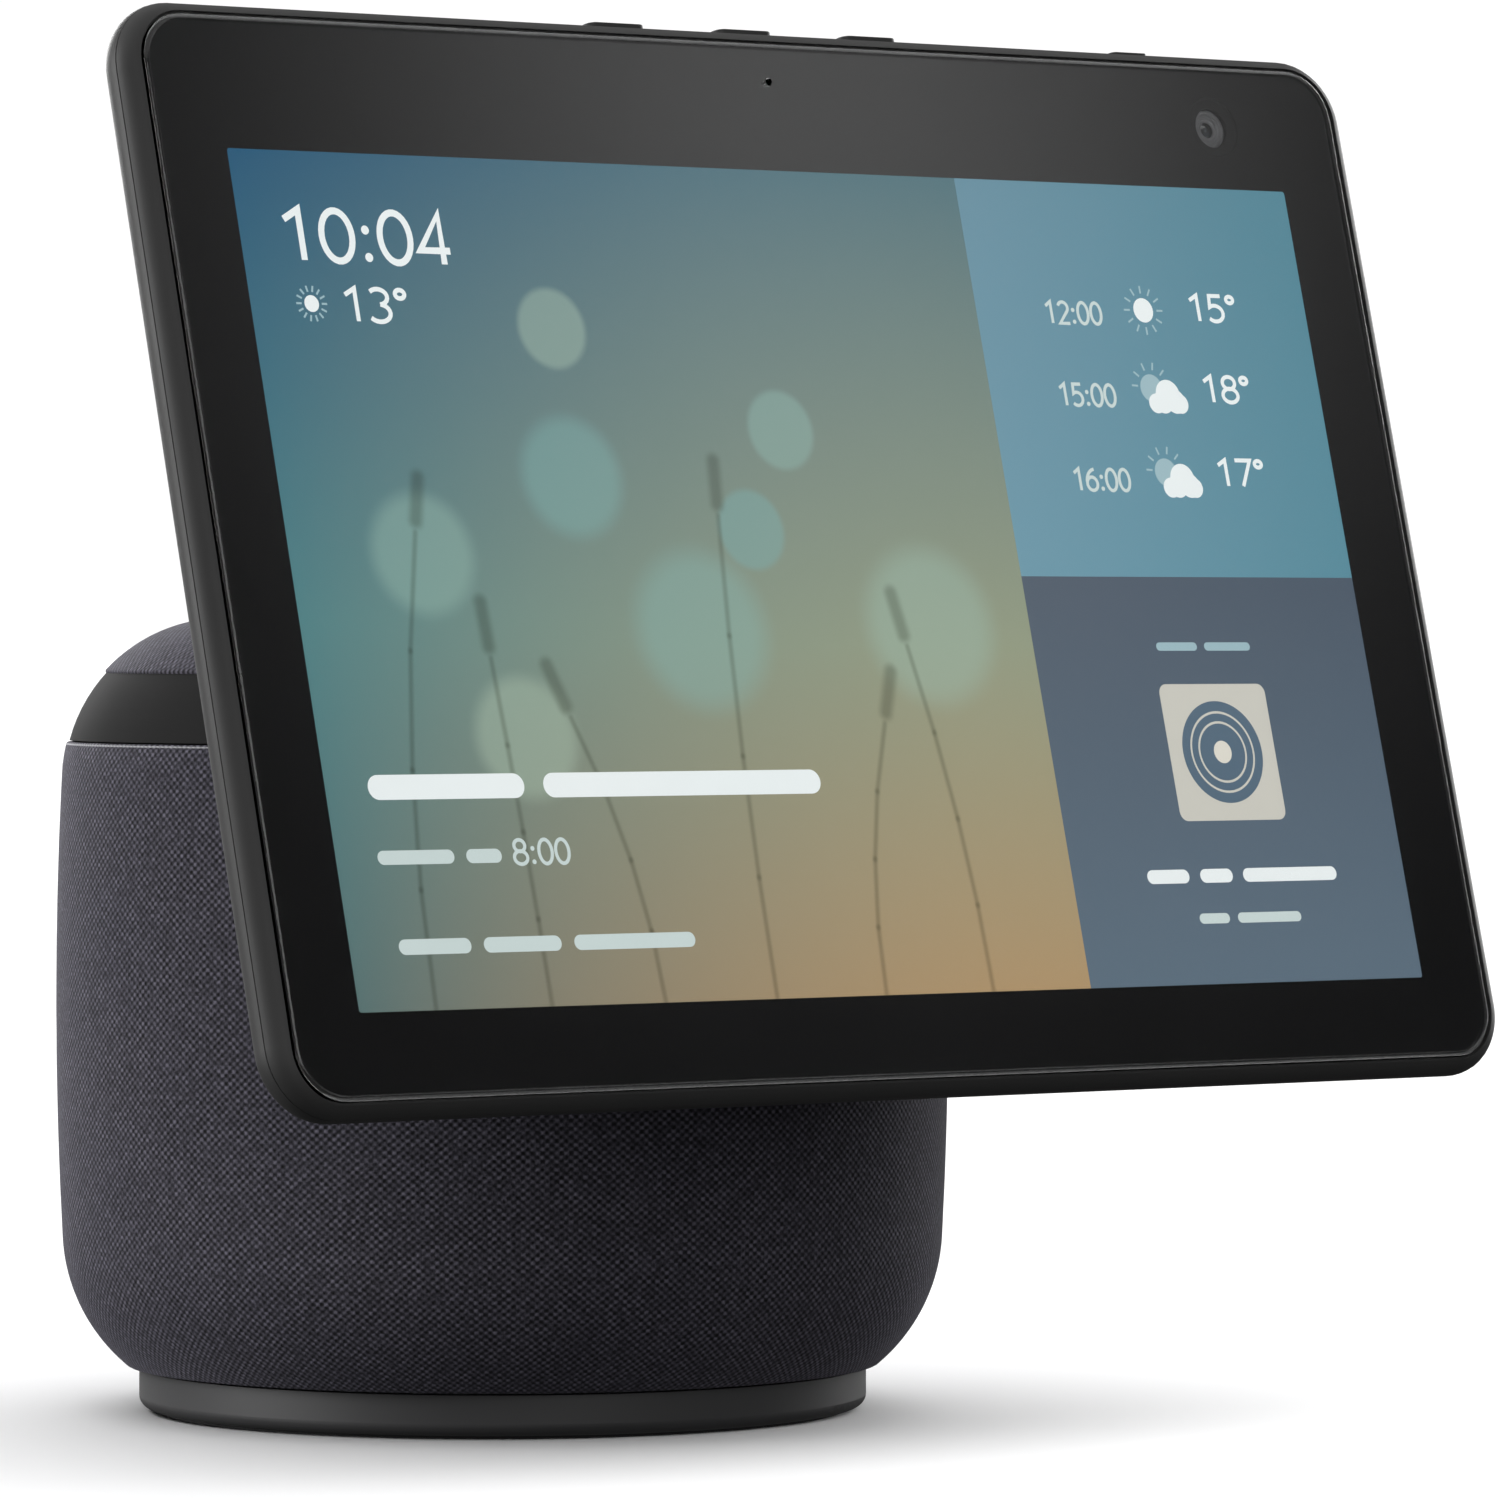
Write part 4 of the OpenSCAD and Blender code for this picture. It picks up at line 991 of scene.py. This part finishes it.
def union_outline(x, y, circles, floor, steps=72):
    """Outline of overlapping circles round x, y, cut flat at a floor."""
    line = []
    for i in range(steps):
        turn = 2 * math.pi * i / steps
        way = Vector((math.cos(turn), math.sin(turn)))
        far = 0.0
        for cx, cy, r in circles:
            to_centre = Vector((cx - x, cy - y))
            along = to_centre.dot(way)
            inside = r ** 2 - (to_centre.length_squared - along ** 2)
            if inside > 0:
                far = max(far, along + math.sqrt(inside))
        if way.y < -1e-6:
            far = min(far, (y - floor) / -way.y)
        line.append((x + way.x * far, y + way.y * far))
    return line


def sun(bright, faint, x, y, r, inner, outer, rays=12, arc=360, start=0):
    """A sun: a disc and the short rays round all or part of it."""
    if bright is not None:
        bright.prism(disc(x, y, r, 32), *MARK_Z)
    for i in range(rays):
        turn = math.radians(start + arc * i / rays)
        c, s = math.cos(turn), math.sin(turn)
        faint.ribbon([(x + inner * c, y + inner * s), (x + outer * c, y + outer * s)], 0.32, *MARK_Z)


def show(shape, name, finish):
    place_piece(shape.object(name, finish), "display", "screen_picture")


def make_picture():
    """The picture on the screen and the numbers, icons and plain bars drawn over it."""
    shape = Shape()
    shape.prism(pill(0, 0, LIT_W + 1, LIT_H + 1, 0.5, 3), *BACKDROP_Z)
    show(shape, "picture", picture_paint("dusk_picture"))

    panel_w = LIT_W / 2 + 0.5 - PANEL_EDGE
    panel_x = PANEL_EDGE + panel_w / 2
    tall = LIT_H / 2 + 0.5 - PANEL_SPLIT
    low = LIT_H / 2 + 0.5 + PANEL_SPLIT
    shape = Shape()
    shape.prism(pill(panel_x, PANEL_SPLIT + tall / 2, panel_w, tall, 0.01, 1), *PANEL_Z)
    upper = sky_panel("panel_blue", (LIT_H / 2, srgb(90, 136, 155)), (PANEL_SPLIT, srgb(106, 152, 170)), 0.5)
    show(shape, "weather_panel", upper)
    shape = Shape()
    shape.prism(pill(panel_x, PANEL_SPLIT - low / 2, panel_w, low, 0.01, 1), *PANEL_Z)
    lower = sky_panel("panel_slate", (PANEL_SPLIT, srgb(75, 88, 103)), (-LIT_H / 2, srgb(93, 111, 126)), 0.0)
    show(shape, "music_panel", lower)

    bright, soft, faint = Shape(), Shape(), Shape()
    number(bright, "10:04", -100.4, -68.8, 49.7, 9.2, 1.12)
    number(bright, "13d", -90.8, -79, 40.3, 6.0, 0.74)
    sun(bright, faint, -96.9, 43.3, 1.35, 1.9, 2.9, 14)
    words(bright, -35.0, 3.9, [(-100.4, -70.8), (-67.1, -12.4)])
    words(soft, -45.1, 2.2, [(-100.6, -86.2), (-83.9, -77.2)])
    number(soft, "8:00", -74.8, -64.2, -45.7, 4.4, 0.58)
    words(soft, -59.1, 2.4, [(-99.2, -85.6), (-83.2, -68.4), (-65.9, -42.4)])
    for signs, warm, y in (("12:00", "15d", 45.4), ("15:00", "18d", 31.4), ("16:00", "17d", 17.0)):
        number(soft, signs, 51, 63, y - 2.1, 4.2, 0.56)
        number(bright, warm, 82.6, 92.6, y - 1.1, 5.1, 0.68)
        if signs == "12:00":
            sun(bright, faint, 72.4, y + 0.8, 2.1, 2.9, 4.2)
        else:
            sun(None, faint, 71.4, y + 1.6, 0, 3.0, 4.3, 6, 200, 10)
            faint.prism(union_outline(71.3, y + 1.4, [(71.3, y + 1.4, 2.4)], y - 1.6), *HIDDEN_SUN_Z)
            lobes = [(71.9, y - 1.2, 1.7), (73.4, y - 0.9, 2.0), (74.6, y + 0.3, 2.6), (76.0, y - 0.8, 2.1),
                     (77.0, y - 1.2, 1.7)]
            bright.prism(union_outline(74.4, y - 1.3, lobes, y - 2.9), *TOP_MARK_Z)
    words(faint, -11.9, 1.4, [(62.6, 71.4), (73.0, 83.0)])
    words(bright, -50.9, 2.3, [(52.2, 61.2), (63.6, 70.6), (72.9, 93.4)])
    words(soft, -57.7, 1.7, [(61.9, 68.4), (70.2, 84.0)])
    show(bright, "bright_marks", glow("white_marks", srgb(240, 246, 246)))
    show(soft, "soft_marks", glow("pale_marks", srgb(204, 218, 216)))
    show(faint, "faint_marks", glow("dim_marks", srgb(158, 188, 196)))
    make_tile()


def make_tile():
    """A generic tile for music: a plain card with a record on it."""
    x, y, side = 73.05, -29.05, 23.0
    card, record, label = Shape(), Shape(), Shape()
    card.prism(pill(x, y, side, side, 1.6, 6), *MARK_Z)
    for outer, inner in ((8.6, 6.9), (6.5, 5.2)):
        record.ribbon(disc(x, y, (outer + inner) / 2, 64), outer - inner, *TOP_MARK_Z, closed=True)
    record.prism(disc(x, y, 4.8, 64), *TOP_MARK_Z)
    label.prism(disc(x, y, 1.9, 32), *LABEL_Z)
    show(card, "tile_card", glow("tile_sand", srgb(206, 204, 194)))
    show(record, "tile_record", glow("record_blue", srgb(84, 106, 124)))
    show(label, "tile_label", glow("label_sand", srgb(226, 222, 210)))


# ------------------------------------------------------------------ finishes of the CAD nodes

CASE_PLASTIC = plastic("case_charcoal", srgb(52, 52, 52), 0.5, shine=0.25)

FINISHES = {
    "foot_rubber": rubber("foot_rubber"),
    "foot_plastic": plastic("foot_charcoal", srgb(52, 52, 53), 0.5),
    "case_plastic": CASE_PLASTIC,
    "collar_plastic": plastic("collar_charcoal", srgb(35, 35, 35), 0.8, grain=0.25, shine=0.05),
    "inner_plastic": plastic("inner_black", srgb(30, 30, 32), 0.6),
    "gear_plastic": plastic("gear_cream", srgb(214, 206, 184), 0.4),
    "steel": metal("rolled_steel", (0.56, 0.57, 0.58, 1.0), 0.38),
    "bright_steel": metal("bright_steel", (0.72, 0.73, 0.74, 1.0), 0.2, brushed=False),
    "brass": metal("brass", (0.72, 0.52, 0.24, 1.0), 0.3, brushed=False),
    "copper_cable": film("flat_cable"),
    "jack_plastic": plastic("jack_black", srgb(24, 24, 26), 0.25),
    "cone_paper": paper("cone_paper"),
    "circuit_board": circuit_board("solder_mask"),
    "chips": plastic("chip_resin", srgb(28, 28, 30), 0.45),
    "aluminium": metal("satin_aluminium", (0.7, 0.71, 0.72, 1.0), 0.42),
    "arm_metal": plastic("arm_coat", srgb(56, 56, 57), 0.42, grain=0.5, depth=0.01),
    "clear_glass": clear_glass("cover_glass"),
    "screen_picture": glow("panel_glow", srgb(60, 96, 104)),
    "diffuser": diffuser("white_diffuser"),
    "lens": lens("camera_lens"),
}


def finish_cad_nodes():
    """Gives each CAD node that stays in view its own finish."""
    for row in frame["record"]["subparts"]:
        finish = FINISHES.get(row["material_slot"])
        for holder in nodes[row["node"]].material_slots:
            if finish:
                holder.material = finish


# ------------------------------------------------------------------ studio


def seen_from_view(right, ahead, height):
    """An offset given to the right, ahead and up as the reference view looks."""
    return VIEW_RIGHT * right + VIEW_AHEAD * ahead + Vector((0, 0, height))


def add_light(name, kind, power, towards, place, size=None):
    """A lamp that shines from a place to a target, or along a sun's direction."""
    data = bpy.data.lights.new(name, kind)
    data.energy = power
    if size:
        data.shape = "RECTANGLE"
        data.size, data.size_y = size
    lamp = bpy.data.objects.new(name, data)
    lamp.location = place
    lamp.rotation_euler = (Vector(place) - Vector(towards)).to_track_quat("Z", "Y").to_euler()
    lamp.visible_camera = False
    bpy.context.scene.collection.objects.link(lamp)
    return lamp


def light_only(lamp, floor, on_floor):
    """Lets a lamp light the floor alone, or everything but the floor."""
    group = bpy.data.collections.new(lamp.name + "_lit")
    group.objects.link(floor)
    lamp.light_linking.receiver_collection = group
    if not on_floor:
        group.collection_objects[0].light_linking.link_state = "EXCLUDE"


# The soft glow that the screen's border mirrors: where it comes from, its spreads and its level
GLOW_TO = Vector((0.6253, -0.6486, 0.4340))
GLOW_SIDEWAYS, GLOW_UPWARDS, GLOW_LEVEL = 0.0357, 0.0439, 0.72
# Light round the horizon, from straight down at 0 to straight up at 1: a height and a level
HORIZON = ((0.0, 0.07), (1.0, 0.08), (0.480, 0.07), (0.485, 1.05), (0.5375, 1.05), (0.56, 0.0))
FLOOR_REACH = 60.0                 # far enough for the floor's edge to lie in the white horizon


def make_world():
    """A white horizon, dim surroundings and one soft glow that the screen's border mirrors."""
    world = bpy.data.worlds.new("studio")
    bpy.context.scene.world = world
    world.use_nodes = True
    tree = Nodes(world.node_tree)
    direction = tree.node("ShaderNodeTexCoord").outputs["Generated"]
    height = tree.node("ShaderNodeSeparateXYZ", direction).outputs[2]
    surroundings = tree.ramp(tree.math("MULTIPLY_ADD", height, 0.5, 0.5),
                             [(position, (level, level, level, 1.0)) for position, level in HORIZON])
    sideways = GLOW_TO.cross(Vector((0, 0, 1))).normalized()
    upwards = sideways.cross(GLOW_TO).normalized()
    falls = []
    for way, spread in ((sideways, GLOW_SIDEWAYS), (upwards, GLOW_UPWARDS)):
        off = tree.vector("DOT_PRODUCT", direction, way / spread, out=1)
        falls.append(tree.math("MULTIPLY", off, off))
    falloff = tree.math("EXPONENT", tree.math("MULTIPLY", tree.math("ADD", *falls), -0.5))
    in_front = tree.math("GREATER_THAN", tree.vector("DOT_PRODUCT", direction, GLOW_TO, out=1), 0.0)
    level = tree.math("MULTIPLY", tree.math("MULTIPLY", falloff, in_front), GLOW_LEVEL)
    tree.feed(world.node_tree.nodes["Background"].inputs["Color"], tree.mix(1.0, surroundings, level, "ADD"))


def make_studio():
    """A pale floor with a light of its own, and soft lights above, left, behind and in front."""
    shape = Shape()
    corners = [(x * FLOOR_REACH, y * FLOOR_REACH) for x, y in ((-1, -1), (1, -1), (1, 1), (-1, 1))]
    shape.add([Vector((x, y, 0.0)) for x, y in corners], [[0, 1, 2, 3]])
    paint = Paint("studio_floor", Roughness=0.7, Specular_IOR_Level=0.1)
    paint.set("Base Color", paint.mix(paint.noise(0.4), srgb(238, 238, 239), srgb(242, 242, 242)))
    floor = shape.object("floor", paint.material)
    floor.visible_diffuse = False
    floor.visible_glossy = False

    for name, power, width, way, on_floor in (
            ("floor_light", 1.53, 150, (0.30, 0.05, 1.0), True),
            ("overhead", 0.5, 110, (0.0, 0.0, 1.0), False)):
        lamp = add_light(name, "SUN", power * math.pi, (0, 0, 0), seen_from_view(*way))
        lamp.data.angle = math.radians(width)
        light_only(lamp, floor, on_floor)

    target = (Vector(cad_box[0]) + Vector(cad_box[1])) / 2
    for name, power, (side, back, height), size in (
            ("left_light", 25, (-1.45, -0.30, 0.40), (0.9, 0.9)),
            ("back_left", 15, (-0.80, 1.35, 0.45), (1.0, 0.6)),
            ("back_right", 9, (0.95, 1.10, 0.40), (0.7, 0.9)),
            ("front_fill", 9, (0.70, -1.80, 0.60), (1.2, 1.0))):
        place = target + seen_from_view(side, back, height)
        light_only(add_light(name, "AREA", power, target, place, size), floor, False)
    bpy.context.scene.view_settings.view_transform = "Standard"


make_camera()
make_world()
make_studio()
finish_cad_nodes()
make_cloth()
make_collar()
make_back_shell()
make_ink_border()
make_camera_rings()
make_picture()
